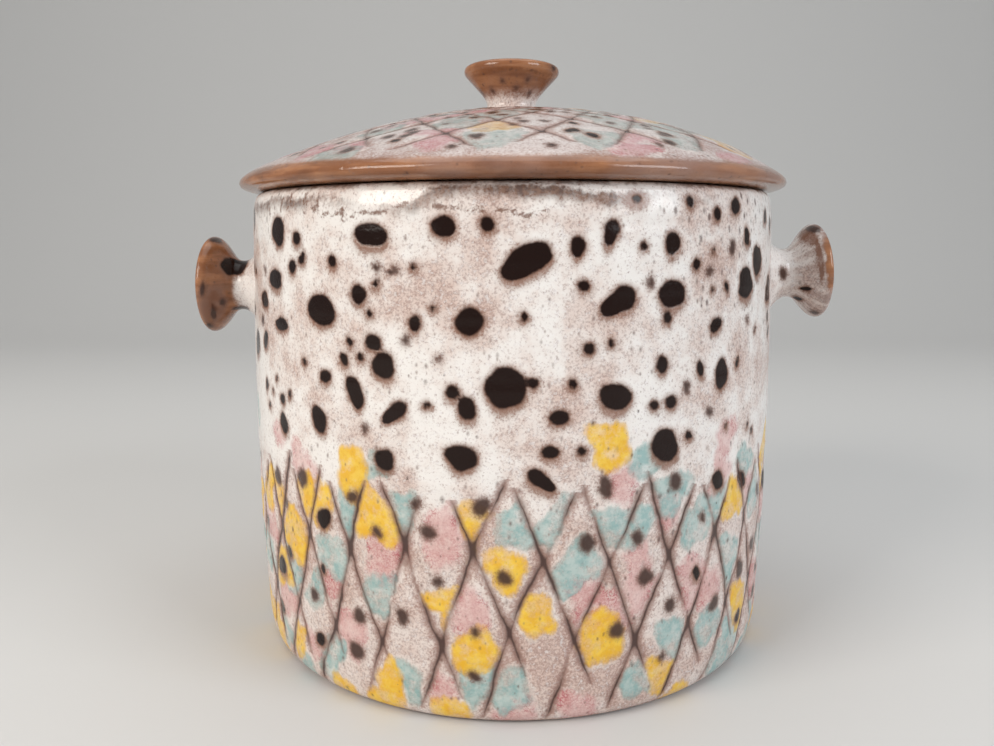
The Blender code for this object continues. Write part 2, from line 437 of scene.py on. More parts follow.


# main blotches, listed one by one: degrees from the front, height, half-width,
# half-height, tilt in degrees
MAIN_SPOTS = [
    (-25, 155.5, 5.5, 3.5, -8), (-11.5, 158, 3.5, 3, 0), (-4, 158.5, 2, 2, 0),
    (2.5, 148, 8.5, 4, 28), (-36.5, 132, 6.5, 4.5, 0),
    (-27.5, 137.5, 2.5, 3, 10), (-16.5, 129.5, 1.6, 2.5, 0),
    (-7, 130.5, 4, 4, 0), (-24.5, 123, 2.5, 2.5, 0), (-22.5, 116, 3.5, 4, 0),
    (-28.5, 107, 2.5, 5.5, 20), (-20, 102.5, 4, 2.5, 38, 180),
    (-37.5, 96.5, 3, 4.5, 25), (-10, 109, 2, 1.8, 0),
    (-7.5, 104.5, 2.5, 3.5, 12), (-1, 110.5, 6, 6, 0),
    (3.5, 112, 1.6, 1.4, 0), (-22.5, 86.5, 3, 3.5, 0),
    (-8.5, 89, 5, 3.5, -15), (-50.5, 157, 4.5, 4.5, 0),
    (-43.5, 154.5, 2, 2, 0), (-52, 141, 5, 3, 0), (-49.5, 126, 4.5, 2, 0),
    (-45, 145.5, 2, 2, 0), (11, 152, 2, 3, 0),
    (17, 157, 2.5, 3, -16, -90), (23, 152, 1, 1.2, 0),
    (29, 153, 2.5, 3.5, 0), (12, 140.5, 1.6, 1.6, 0),
    (19, 136.5, 5, 4, 30, 180), (29, 137.5, 5, 4, 0), (28, 130.5, 1.4, 1.6, 0),
    (40, 127, 3, 2, 30), (27, 116, 2, 2.5, 0), (18, 107, 5, 4, -25),
    (8, 101.5, 3, 2, 5), (25.5, 103.5, 1.6, 1.2, 0), (29, 104, 2, 2, 40),
    (28, 90.5, 5, 5, 0), (42, 111, 3, 5, 0), (50.5, 138.5, 6, 4, 10, 90),
    (56, 147, 4, 5, 0), (-49.5, 92, 2.5, 3.5, 15),
    (4.5, 83, 4, 2.5, -38, 0), (33, 165.5, 1.4, 1.6, 0),
    (40, 162, 1.6, 2, 10), (46, 164.5, 2.5, 2.5, 0), (50.5, 155, 1.6, 3, 8),
    (34.5, 146.5, 1.6, 1.6, 0), (-35.5, 111, 2.5, 1.8, 20),
    (-33.5, 147.5, 1.6, 1.6, 0), (6.5, 91, 2.5, 1.8, 0),
    (13, 122, 1.6, 1.6, 0), (36, 113.5, 1.2, 2.5, 12),
]


def pot_ornament(att, th, z, r, outside):
    """Writes the outside wall's ornament into att."""
    rng = np.random.default_rng(21)
    idx = np.flatnonzero(outside)
    t, v, rr = th[idx], z[idx], np.full(len(idx), POT_R)
    lat = Lattice(30, 5.7, 53.8, 27.4, 40,
                  [(0.060, 3, 0.004), (0.060, 9, 0.012), (0.026, 24, 0.03)])
    pa, pb = lat.phases(t, v)
    mm = lat.scale(rr)
    ga, gb = line_gap(pa, mm), line_gap(pb, mm)
    ka = np.round(pa).astype(int) % lat.count
    kb = np.round(pb).astype(int) % lat.count
    # where each line starts, runs out, and how boldly it is drawn
    top_a = 81.5 + 4.5 * lat.top[0][ka]
    top_b = 81.5 + 4.5 * lat.top[1][kb]
    low_a = 7.0 + 10.0 * lat.low[0][ka]
    low_b = 1.0 + 5.0 * lat.low[1][kb]
    fade = waves(44, [(0.5, 40, 0.03)], t, v)
    sa = (step01(v, top_a, top_a - 7.0) * step01(v, low_a - 4, low_a + 9)
          * lat.bold[0][ka] * np.clip(1.0 + 0.8 * fade, 0.32, 1.0))
    sb = (step01(v, top_b, top_b - 7.0) * step01(v, low_b - 3, low_b + 4)
          * lat.bold[1][kb] * np.clip(1.0 - 0.8 * fade, 0.32, 1.0))

    # dabs of colour, most of them kept inside one lozenge
    cell_a, cell_b = np.floor(pa), np.floor(pb)
    inside = np.minimum(np.minimum(pa - cell_a, cell_a + 1 - pa),
                        np.minimum(pb - cell_b, cell_b + 1 - pb)) * mm
    fields = {k: np.full(len(idx), FAR)
              for k in ("dab_yellow", "dab_green", "dab_pink")}
    names = list(fields)

    def dab(colour, theta, height, a, b, tilt, cell=None):
        clip = None
        if cell is not None:
            ca, cb = cell

            def clip(near):
                da = (cell_a[near] - ca) % lat.count
                db = (cell_b[near] - cb) % lat.count
                return np.where((da == 0) & (db == 0),
                                0.5 - inside[near], inside[near] + 0.5)
        union(fields[colour], t, v, rr,
              (theta, height, a, b, tilt, bumpy(rng, 0.42)), clip)

    for n in (1, 0, -1, -2):
        for m in range(60):
            # the centre of the lozenge between crossings
            if (m + n) % 2 == 0:
                continue
            theta = lat.theta0 + 6.0 * m
            a_idx = (m - 1 + n) // 2
            b_idx = (m - 1 - n) // 2
            front = ((theta + 180) % 360) - 180
            if -180 < front < -3:
                odds = [0.50, 0.26, 0.24]
            elif front < 18:
                odds = [0.34, 0.33, 0.33]
            else:
                odds = [0.20, 0.46, 0.34]
            height = 53.8 + 27.4 * n
            cell = (a_idx, b_idx)
            # yellow and pink sit high in a lozenge, green pools at its foot
            if n == 1:
                places = [(-14.0, 0.86), (-3.0, 0.55)]
            elif n == 0:
                places = [(12.0, 0.80), (0.0, 0.62), (-13.0, 0.85)]
            elif n == -1:
                places = [(12.0, 0.74), (0.0, 0.62), (-12.0, 0.82)]
            else:
                places = [(13.0, 0.78), (3.0, 0.75)]
            used = []
            for dz, chance in places:
                if rng.random() > chance:
                    continue
                p = np.array(odds)
                for c in used:
                    p[c] *= 0.22
                p[1] *= 1.5 if dz < -8 else 1.0
                p[0] *= 0.6 if dz < -8 else 1.1
                c = rng.choice(3, p=p / p.sum())
                used.append(c)
                free = rng.random() < 0.26
                a, b = rng.uniform(5.2, 8.4), rng.uniform(6.6, 10.5)
                if abs(dz) > 8:
                    a *= 0.92
                dab(names[c], theta + rng.uniform(-1.9, 1.9),
                    height + dz + rng.uniform(-3, 3), a, b,
                    rng.uniform(-35, 35), None if free else cell)
    # a few loose ones above the lattice
    for k in range(26):
        theta = -180 + 360.0 * (k + rng.uniform(-0.28, 0.28)) / 26
        if rng.random() < 0.72:
            c = rng.choice(3, p=[0.36, 0.3, 0.34])
            dab(names[c], theta, rng.uniform(84, 93), rng.uniform(4.2, 7.5),
                rng.uniform(4.0, 7.2), rng.uniform(-40, 40))

    # dark blotches: the main ones, then smaller ones where there is room
    spot = np.full(len(idx), FAR)
    blot = np.full(len(idx), FAR)
    halo = np.full(len(idx), FAR)
    placed = []

    def dark(theta, height, a, b, tilt, uneven, drop=None):
        """A blotch, and the stain that ran down a little from under it.
        drop draws it out to a point, at that many degrees."""
        bumps = bumpy(rng, uneven)
        if drop is not None:
            p0 = math.radians(drop)
            bumps = [(0.21, -p0), (0.19, -2 * p0), (0.14, -3 * p0),
                     (0.06, -4 * p0)]
        union(spot, t, v, rr, (theta, height, a, b, tilt, bumps))
        run = rng.uniform(0.5, 1.2) * (0.7 + 0.14 * max(a, b))
        union(halo, t, v, rr, (theta, height - run, a * 1.02,
                               b + run * 0.5, tilt, bumps))

    for theta, height, a, b, tilt, *drop in MAIN_SPOTS:
        dark(theta, height, a, b, tilt, 0.15, drop[0] if drop else None)
        placed.append((theta, height, max(a, b)))
    # a burnt one just under the rim, with a wide stain round it
    union(spot, t, v, rr, (21.5, 166, 1.3, 1.0, 0, [(0.16, 0.5)]))
    union(halo, t, v, rr, (21.5, 165.5, 3.6, 2.4, 0, [(0.16, 0.9)]))
    placed += [(21.5, 166, 2.2), (-24, 168.5, 1.2)]

    def room(theta, height, size):
        for pt, pz, ps in placed:
            dx = math.radians((theta - pt + 180) % 360 - 180) * POT_R
            if math.hypot(dx, height - pz) < size + ps + 2.2:
                return False
        return True

    def scatter(count, low, high, sizes, field, arc, stretch=(0.7, 1.0),
                power=1.0, uneven=0.25):
        done = tries = 0
        while done < count and tries < 6000:
            tries += 1
            theta = rng.uniform(*arc)
            height = rng.uniform(low, high)
            size = sizes[0] + (sizes[1] - sizes[0]) * rng.random() ** power
            if not room(theta, height, size):
                continue
            flat = rng.uniform(*stretch)
            tilt = rng.normal(90, 35)
            if field is spot:
                # none where the brown breaks out at the front
                rimmed = abs(theta) < 58 and height > 159
                dark(theta, -99.0 if rimmed else height, size,
                     size * flat, tilt, uneven)
            else:
                shape = (theta, height, size, size * flat, tilt,
                         bumpy(rng, uneven))
                if abs(theta) > 58 or height < 159:
                    union(field, t, v, rr, shape)
            placed.append((theta, height, size))
            done += 1

    back = (58, 302)
    scatter(26, 92, 160, (4.0, 6.6), spot, back, (0.62, 1.0), 1.6)
    scatter(46, 90, 163, (2.0, 4.0), spot, back, (0.55, 1.0))
    scatter(60, 88, 166, (0.9, 2.0), spot, back, (0.5, 1.0), uneven=0.4)
    scatter(34, 88, 166, (0.8, 1.9), spot, (-58, 58), (0.5, 1.0),
            1.5, uneven=0.4)
    scatter(46, 90, 168, (0.9, 1.9), blot, (-180, 180), (0.5, 1.0),
            uneven=0.5)
    # softer, browner ones inside the lattice
    for n in (1, 0, -1):
        for m in range(60):
            if (m + n) % 2 == 0:
                continue
            theta, height = lat.theta0 + 6.0 * m, 53.8 + 27.4 * n
            for dz in (8.5, -6.0):
                if n == 1 and dz > 0 or rng.random() > 0.78:
                    continue
                size = rng.uniform(1.4, 3.2)
                place = (theta + rng.uniform(-2.2, 2.2),
                         height + dz + rng.uniform(-4, 4))
                if not room(*place, size):
                    continue
                if rng.random() < (0.42 if theta % 360 > 290 else 0.2):
                    dark(*place, size * 1.15, size * rng.uniform(0.6, 1.0),
                         rng.normal(90, 30), 0.25)
                else:
                    union(blot, t, v, rr,
                          (*place, size, size * rng.uniform(0.6, 1.0),
                           rng.normal(90, 30), bumpy(rng, 0.3)))
                placed.append((*place, size))

    att["spot"][idx], att["blot"][idx], att["halo"][idx] = spot, blot, halo
    for k, f in fields.items():
        att[k][idx] = f
    for key, ph, st in (("line_a", pa, sa), ("line_b", pb, sb)):
        att[key][idx] = np.stack([np.sin(TAU * ph), np.cos(TAU * ph), st], 1)
    att["line_mm"][idx] = mm / TAU
    # the glaze lies thinner over the lattice
    att["ground"][idx] = step01(v, 84.0, 60.0) * (0.85 + 0.15 * fade)
    # the edge of the thick run of glaze under the rim: how far down it lies,
    # and how heavy the brown is that breaks out below it
    deg = np.degrees(wrap(t))
    depth = (3.4 + 1.5 * np.sin(np.radians(deg * 5 + 40))
             + 1.1 * np.sin(np.radians(deg * 13 + 10))
             + waves(61, [(0.7, 30, 0.0)], t, v * 0))
    heavy = np.clip(0.45 + waves(62, [(0.5, 7, 0.0), (0.35, 16, 0.0)],
                                 t, v * 0), 0.0, 1.0)
    front = [-75, -60, -52, -44, -36, -30, -24, -17, -15, -12, -6, 0, 7, 9,
             13, 17, 22, 27, 33, 45, 60, 75]
    how_deep = [3.0, 4.5, 2.0, 3.8, 2.6, 5.4, 6.8, 6.0, 3.2, 1.0, 0.7, 1.0,
                0.9, 1.6, 2.4, 3.2, 2.8, 2.0, 3.8, 3.4, 5.0, 3.0]
    how_heavy = [0.5, 0.8, 0.7, 0.9, 0.5, 0.45, 0.35, 0.8, 1.0, 0.9, 0.8,
                 1.0, 1.0, 0.95, 0.9, 1.0, 0.8, 0.25, 0.5, 0.2, 0.35, 0.4]
    near = step01(np.abs(deg), 74, 60)
    depth += near * (np.interp(deg, front, how_deep) - depth) * 0.85
    heavy += near * (np.interp(deg, front, how_heavy) - heavy)
    att["run"][idx] = (RIM_Z - v) - depth
    att["heavy"][idx] = heavy
    # thin brown lines lower down, along the lower edge of each lobe of it
    low = np.full(len(idx), FAR)
    lobes = [([-40, -36, -31, -25, -20, -17], [6.4, 8.6, 9.4, 9.5, 8.0, 5.6]),
             ([-14, -11, -6, -1, 3, 6], [7.4, 8.1, 8.3, 8.9, 10.0, 9.0])]
    at = 74.0
    while at < 292:
        wide = rng.uniform(14, 30)
        dip = rng.uniform(7.0, 10.5)
        lobes.append(([at, at + wide * 0.2, at + wide * 0.5,
                       at + wide * 0.8, at + wide],
                      [dip - 3.0, dip - 0.6, dip, dip - 0.8, dip - 3.4]))
        at += wide + rng.uniform(1, 14)
    for xs, ys in lobes:
        here = (deg - xs[0]) % 360.0
        span = xs[-1] - xs[0]
        on = here < span
        curve = np.interp(here, [x - xs[0] for x in xs], ys)
        curve = curve + waves(len(xs) + int(span * 7), [(0.35, 60, 0.0)],
                              t, v * 0)
        low = np.where(on, np.minimum(low, np.abs((RIM_Z - v) - curve)), low)
    marks = [(-70, 4.0, 9.5), (-64.5, 3.0, 8.0), (-60, 4.5, 9.8),
             (-54.5, 2.8, 8.8), (-49, 4.2, 9.0), (-45.5, 3.0, 7.0),
             (-41, 3.0, 8.6), (-37.5, 5.2, 9.0), (-31, 8.0, 11.0)]
    for k in range(44):
        a0 = rng.uniform(66, 300)
        hi = rng.uniform(2.6, 5.0)
        marks.append((a0, hi, hi + rng.uniform(1.5, 5.5)))
    for a0, hi, lo in marks:
        dx = (np.radians((deg - a0 + 180) % 360 - 180) * POT_R
              + 0.25 * np.sin((RIM_Z - v) * 0.9 + a0))
        dz = (RIM_Z - v) - np.clip(RIM_Z - v, hi, lo)
        low = np.minimum(low, np.hypot(dx, dz))
    att["drip"][idx] = low
    # hollows that the lines press into the clay, for the mesh itself
    hollow = (sa * (0.38 * np.exp(-(ga / 1.5) ** 2)
                    + 0.34 * np.exp(-(ga / 4.4) ** 2))
              + sb * (0.38 * np.exp(-(gb / 1.5) ** 2)
                      + 0.34 * np.exp(-(gb / 4.4) ** 2)))
    out = np.zeros(len(th))
    out[idx] = -np.minimum(hollow, 0.85)
    return out


def lid_ornament(att, th, r, z, top):
    rng = np.random.default_rng(33)
    idx = np.flatnonzero(top)
    t, v = th[idx], r[idx]
    lat = Fan(18, 6.0, 85.0, 1.205, 71,
              [(0.035, 3, 0.004), (0.030, 7, 0.010)])
    pa, pb = lat.phases(t, v)
    mm = lat.scale(v)
    ga, gb = line_gap(pa, mm), line_gap(pb, mm)
    ka = np.round(pa).astype(int) % lat.count
    kb = np.round(pb).astype(int) % lat.count
    end_a = 98.0 + 2.5 * lat.top[0][ka]
    end_b = 98.0 + 2.5 * lat.top[1][kb]
    sa = (step01(v, end_a, end_a - 6) * step01(v, 17, 26)
          * (0.20 + 0.58 * lat.bold[0][ka]))
    sb = (step01(v, end_b, end_b - 6) * step01(v, 17, 26)
          * (0.20 + 0.58 * lat.bold[1][kb]))
    cell_a, cell_b = np.floor(pa), np.floor(pb)
    inside = np.minimum(np.minimum(pa - cell_a, cell_a + 1 - pa),
                        np.minimum(pb - cell_b, cell_b + 1 - pb)) * mm
    fields = {k: np.full(len(idx), FAR)
              for k in ("dab_yellow", "dab_green", "dab_pink")}
    names = list(fields)
    spot = np.full(len(idx), FAR)
    blot = np.full(len(idx), FAR)
    x, y = v * np.sin(t), -v * np.cos(t)

    def flat_union(field, cx, cy, a, b, turn, bumps, cell=None):
        reach = max(a, b) * 1.6 + 6
        near = np.flatnonzero((np.abs(x - cx) < reach)
                              & (np.abs(y - cy) < reach))
        d = blob(x[near] - cx, y[near] - cy, a, b, turn, bumps)
        if cell is not None:
            da = (cell_a[near] - cell[0]) % lat.count
            db = (cell_b[near] - cell[1]) % lat.count
            d = np.maximum(d, np.where((da == 0) & (db == 0),
                                       0.4 - inside[near],
                                       inside[near] + 0.5))
        field[near] = np.minimum(field[near], d)

    for n in range(1, -7, -1):
        rad = 85.0 * 1.205 ** n
        near = rad / 85.0
        for m in range(36):
            if (m + n) % 2 == 0:
                continue
            theta = math.radians(lat.theta0 + 10.0 * m)
            cell = ((m - 1 + n) // 2, (m - 1 - n) // 2)
            wide = math.radians(10.0) * rad
            for dr in (-6.0, 5.0):
                if rng.random() > (0.62 if n < 1 else 0.34):
                    continue
                c = rng.choice(3, p=[0.05, 0.62, 0.33])
                rc = (rad + (dr + rng.uniform(-2, 2)) * near
                      - (8 if n == 1 else 0))
                flat_union(fields[names[c]], rc * math.sin(theta),
                           -rc * math.cos(theta), 0.50 * wide + 1.2,
                           rng.uniform(6, 9) * near, theta,
                           bumpy(rng, 0.35),
                           None if rng.random() < 0.25 else cell)
            for dr, chance in ((-7.0, 0.9), (6.0, 0.9), (0.0, 0.7),
                               (2.0, 0.6), (-3.0, 0.4)):
                rc = rad + (dr + rng.uniform(-2.5, 2.5)) * near
                if rc > 99 or rc < 20 or rng.random() > chance:
                    continue
                th2 = theta + rng.uniform(-0.45, 0.45) * wide / rc
                size = rng.uniform(0.8, 1.9) * (0.45 + 0.55 * near)
                flat_union(spot if rng.random() < 0.35 else blot,
                           rc * math.sin(th2), -rc * math.cos(th2),
                           size, size * rng.uniform(0.6, 1.0),
                           rng.uniform(0, math.pi), bumpy(rng, 0.35))
    # two wide pink washes that run over the edge of the lattice
    for deg, rad, a, b in ((21.5, 97, 9.0, 4.5), (46.5, 99, 8.5, 4.0),
                           (-17.5, 82, 9.5, 4.0), (150, 93, 10, 5),
                           (-120, 96, 9, 4.5), (88, 96, 9, 4.5)):
        th0 = math.radians(deg)
        flat_union(fields["dab_pink"], rad * math.sin(th0),
                   -rad * math.cos(th0), a, b, th0, bumpy(rng, 0.3))
    att["spot"][idx], att["blot"][idx] = spot, blot
    for k, f in fields.items():
        att[k][idx] = f
    for key, ph, st in (("line_a", pa, sa), ("line_b", pb, sb)):
        att[key][idx] = np.stack([np.sin(TAU * ph), np.cos(TAU * ph), st], 1)
    att["line_mm"][idx] = mm / TAU
    edge = 101.0 + waves(77, [(0.7, 9, 0.0)], t, v * 0)
    past = np.where(z[idx] < 175.6, 106.0, v)
    att["band"][idx] = (0.30 * step01(past, edge - 7.0, edge + 1.0)
                        + 0.70 * step01(past, edge - 0.5, edge + 3.2))
    att["ground"][idx] = 0.50 + 0.50 * step01(v, 86, 99)
    # painted lamp light: the band is painted orange on the left, under the
    # warm lamp, and rosy grey on the right
    att["warm_tone_and_lamp_tint"][idx] = (0.64 - 0.46 * np.sin(t + 0.05)
                        + waves(78, [(0.10, 4, 0.0)], t, v * 0))
    att["halo"][idx] = spot - 0.25
    out = np.zeros(len(th))
    out[idx] = -np.minimum(sa * 0.32 * np.exp(-(ga / 1.4) ** 2)
                           + sb * 0.32 * np.exp(-(gb / 1.4) ** 2), 0.4)
    return out


# ---------------------------------------------------------------- materials
class Tree:
    """Short names for shader nodes."""

    def __init__(self, name):
        self.mat = bpy.data.materials.new(name)
        self.mat.use_nodes = True
        self.t = self.mat.node_tree
        self.bsdf = self.t.nodes["Principled BSDF"]
        coord = self.node("ShaderNodeTexCoord")
        scale = self.node("ShaderNodeVectorMath")
        scale.operation = 'SCALE'
        self.link(coord.outputs["Object"], scale.inputs[0])
        scale.inputs["Scale"].default_value = 1000.0
        self.mm = scale.outputs[0]          # position in millimetres

    def node(self, kind):
        return self.t.nodes.new(kind)

    def link(self, a, b):
        self.t.links.new(a, b)

    def put(self, value, socket):
        if isinstance(value, bpy.types.NodeSocket):
            self.link(value, socket)
        else:
            socket.default_value = value

    def math(self, op, a, b=None, c=None, clamp=False):
        n = self.node("ShaderNodeMath")
        n.operation, n.use_clamp = op, clamp
        for i, value in enumerate((a, b, c)):
            if value is not None:
                self.put(value, n.inputs[i])
        return n.outputs[0]

    def add(self, a, b): return self.math('ADD', a, b)
    def sub(self, a, b): return self.math('SUBTRACT', a, b)
    def mul(self, a, b): return self.math('MULTIPLY', a, b)
    def top(self, a, b): return self.math('MAXIMUM', a, b)
    def low(self, a, b): return self.math('MINIMUM', a, b)
    def inv(self, a): return self.math('SUBTRACT', 1.0, a, clamp=True)

    def step(self, x, lo, hi, out_lo=0.0, out_hi=1.0):
        """Smooth step from out_lo at lo to out_hi at hi."""
        n = self.node("ShaderNodeMapRange")
        n.interpolation_type = 'SMOOTHSTEP'
        self.put(x, n.inputs[0])
        if not isinstance(lo, bpy.types.NodeSocket) \
                and not isinstance(hi, bpy.types.NodeSocket) and lo > hi:
            lo, hi, out_lo, out_hi = hi, lo, out_hi, out_lo
        for i, value in enumerate((lo, hi, out_lo, out_hi), start=1):
            self.put(value, n.inputs[i])
        return n.outputs[0]

    def mix(self, fac, a, b, mode='MIX'):
        n = self.node("ShaderNodeMix")
        n.data_type, n.blend_type = 'RGBA', mode
        n.clamp_factor = True
        self.put(fac, n.inputs["Factor"])
        for value, socket in ((a, n.inputs[6]), (b, n.inputs[7])):
            if isinstance(value, tuple) and len(value) == 3:
                value = (*value, 1.0)
            self.put(value, socket)
        return n.outputs[2]

    def blend(self, fac, a, b):
        n = self.node("ShaderNodeMix")
        n.data_type = 'FLOAT'
        n.clamp_factor = True
        self.put(fac, n.inputs["Factor"])
        self.put(a, n.inputs[2])
        self.put(b, n.inputs[3])
        return n.outputs[0]

    def noise(self, size, detail=2.0, rough=0.5, warp=0.0, vec=None):
        """Noise with features of about size mm, centred on 0.5."""
        n = self.node("ShaderNodeTexNoise")
        self.put(vec if vec is not None else self.mm, n.inputs["Vector"])
        n.inputs["Scale"].default_value = 1.0 / size
        n.inputs["Detail"].default_value = detail
        n.inputs["Roughness"].default_value = rough
        n.inputs["Distortion"].default_value = warp
        return n.outputs[0]

    def cells(self, size, vec=None, feature='F1'):
        n = self.node("ShaderNodeTexVoronoi")
        n.feature = feature
        self.put(vec if vec is not None else self.mm, n.inputs["Vector"])
        n.inputs["Scale"].default_value = 1.0 / size
        rgb = self.node("ShaderNodeSeparateColor")
        if feature == 'F1':
            self.link(n.outputs["Color"], rgb.inputs[0])
        return n.outputs["Distance"], rgb.outputs[0], rgb.outputs[1]

    def attr(self, name):
        n = self.node("ShaderNodeAttribute")
        n.attribute_type = 'GEOMETRY'
        n.attribute_name = name
        return n

    def value(self, name):
        return self.attr(name).outputs["Fac"]

    def vector(self, name):
        sep = self.node("ShaderNodeSeparateXYZ")
        self.link(self.attr(name).outputs["Vector"], sep.inputs[0])
        return sep.outputs

    def stretch(self, x, y, z):
        n = self.node("ShaderNodeVectorMath")
        n.operation = 'MULTIPLY'
        self.link(self.mm, n.inputs[0])
        n.inputs[1].default_value = (x, y, z)
        return n.outputs[0]


def glaze(name, plain=False, speckle=1.0, muted=False):
    """White tin glaze over dark-spotted clay. plain leaves the drawn
    ornament out, for the inside; speckle is how many fine specks it has;
    muted greys its colours, as on the lid."""
    g = Tree(name)
    big = g.noise(34.0, 3.0, 0.55)
    mid = g.noise(9.0, 4.0, 0.62)
    fine = g.noise(1.5, 3.0, 0.62)
    grain = g.noise(0.74, 3.0, 0.72)
    jag = g.sub(g.noise(2.4, 3.0, 0.6), 0.5)
    jig = g.sub(g.noise(8.0, 2.0, 0.5), 0.5)
    sand = g.add(g.mul(grain, 0.58), g.mul(fine, 0.42))
    dither = g.mul(g.sub(sand, 0.5), 2.3)

    def stipple(mask, lo=0.30, hi=0.72):
        """Breaks a soft mask up into grains, denser where it is stronger."""
        return g.step(g.add(mask, dither), lo, hi)

    # the white, thicker and thinner
    thin = g.step(g.add(g.mul(big, 0.60), g.mul(mid, 0.40)), 0.41, 0.66)
    if not plain:
        ground = g.value("ground")
        thin = g.math('ADD', thin, g.mul(ground, g.blend(thin, 0.54, 0.28)),
                      clamp=True)
    if muted:
        colour = g.mix(thin, (0.77, 0.730, 0.715), (0.510, 0.410, 0.385))
    else:
        colour = g.mix(thin, (0.84, 0.805, 0.775), (0.650, 0.500, 0.440))
    # a sandy grain, closest where the glaze is thin
    grains = stipple(g.blend(thin, 0.30, 0.54), 0.32, 0.68)
    colour = g.mix(g.mul(grains, g.blend(thin, 0.54, 0.59)), colour,
                   (0.290, 0.170, 0.145))
    heart = g.step(fine, 0.56, 0.66)
    colour = g.mix(g.mul(heart, 0.50), colour, (0.86, 0.835, 0.83))

    bump = g.mul(g.noise(4.0, 2.0, 0.5), 0.10)
    bump = g.add(bump, g.mul(grain, 0.022))
    rough = g.blend(thin, 0.13, 0.24)

    if not plain:
        la, lb = g.vector("line_a"), g.vector("line_b")
        mm = g.value("line_mm")
        wander = g.noise(5.0, 2.0, 0.5, vec=g.stretch(1.0, 1.0, 0.6))
        gaps = []
        for v, w in ((la, jig), (lb, g.sub(wander, 0.5))):
            d = g.mul(g.math('ARCTAN2', v[0], v[1]), mm)
            d = g.math('ABSOLUTE', g.add(d, g.mul(w, 1.7)))
            # a faint line is a thin one, and none at all where it has ended
            d = g.add(d, g.mul(g.sub(1.0, v[2]), 1.5))
            d = g.add(d, g.step(v[2], 0.34, 0.0, 0.0, 24.0))
            gaps.append(d)
        n = g.node("ShaderNodeMath")
        n.operation = 'SMOOTH_MIN'
        g.link(gaps[0], n.inputs[0])
        g.link(gaps[1], n.inputs[1])
        n.inputs[2].default_value = 4.2
        line = n.outputs[0]
        # the clay shows rosy brown on either side of a line
        wash = g.step(g.add(line, g.mul(jag, 1.8)), 5.0, 0.2)
        colour = g.mix(g.mul(stipple(wash, 0.22, 0.95), 0.62), colour,
                       (0.350, 0.200, 0.165))

        # dabs of colour with soft, worn edges
        drool = g.sub(g.noise(3.4, 3.0, 0.6,
                              vec=g.stretch(1.0, 1.0, 0.36)), 0.5)
        worn = g.add(g.mul(jag, 2.2), g.mul(jig, 4.2))
        worn = g.add(worn, g.add(g.mul(drool, 4.6), g.mul(
            g.sub(grain, 0.5), 1.5)))
        pale = g.step(g.noise(11.0, 2.0, 0.5), 0.44, 0.60)
        if muted:
            dabs = (("dab_pink", (0.50, 0.205, 0.235), (0.62, 0.39, 0.395)),
                    ("dab_green", (0.255, 0.335, 0.315),
                     (0.420, 0.470, 0.445)),
                    ("dab_yellow", (0.62, 0.360, 0.120),
                     (0.73, 0.520, 0.260)))
        else:
            dabs = (("dab_pink", (0.61, 0.30, 0.285), (0.72, 0.475, 0.445)),
                    ("dab_green", (0.250, 0.420, 0.410),
                     (0.440, 0.550, 0.525)),
                    ("dab_yellow", (0.785, 0.430, 0.016),
                     (0.84, 0.545, 0.055)))
        for key, a, b in dabs:
            d = g.add(g.value(key), worn)
            tone = g.mix(g.step(g.noise(4.2, 4.0, 0.65), 0.38, 0.64), a, b)
            body = g.step(d, 1.5, -1.3)
            # the white stands up in a pale seam along some of the edges
            seam = g.mul(g.step(d, 2.6, 1.4), g.step(d, 0.2, 1.0))
            colour = g.mix(g.mul(g.mul(seam, pale), 0.32), colour,
                           (0.84, 0.79, 0.74))
            if key == "dab_pink":
                # stippled: worm-like grains of red, closest at the rim
                worm = g.math('ABSOLUTE', g.sub(
                    g.noise(1.25, 2.0, 0.55), 0.5))
                worm = g.step(worm, 0.075, 0.012)
                edge = g.mul(g.step(d, 1.6, 0.2), g.step(d, -4.2, -0.8))
                body = g.step(d, 2.0, -2.4)
                colour = g.mix(g.mul(body, 0.56 if muted else 0.66), colour,
                               tone)
                edge = g.mul(edge, g.step(mid, 0.44, 0.62))
                red = g.mul(worm, g.math('ADD', g.mul(body, g.step(
                    big, 0.42, 0.62, 0.10, 0.50)), g.mul(edge, 0.55),
                    clamp=True))
                colour = g.mix(red, colour, (0.43, 0.095, 0.115))
            else:
                # the white shows through where a dab is thin
                full, bare = ((0.97, 0.60) if key == "dab_yellow"
                              else (0.90, 0.34))
                cover = g.blend(g.step(g.noise(6.5, 4.0, 0.65), 0.42, 0.64),
                                0.74 if muted else full,
                                0.32 if muted else bare)
                colour = g.mix(g.mul(body, cover), colour, tone)
                # colour gathers in a darker rim
                edge = g.mul(g.step(d, 0.9, 0.1), g.step(d, -1.6, -0.3))
                deep = ((0.60, 0.27, 0.02) if key == "dab_yellow"
                        else (0.16, 0.29, 0.27))
                colour = g.mix(g.mul(edge, 0.16), colour, deep)
            bump = g.add(bump, g.mul(g.step(d, 0.9, -0.9), 0.07))
        # the clay's grains show through the dabs as well
        colour = g.mix(g.mul(stipple(0.12), 0.34), colour,
                       (0.24, 0.13, 0.09))

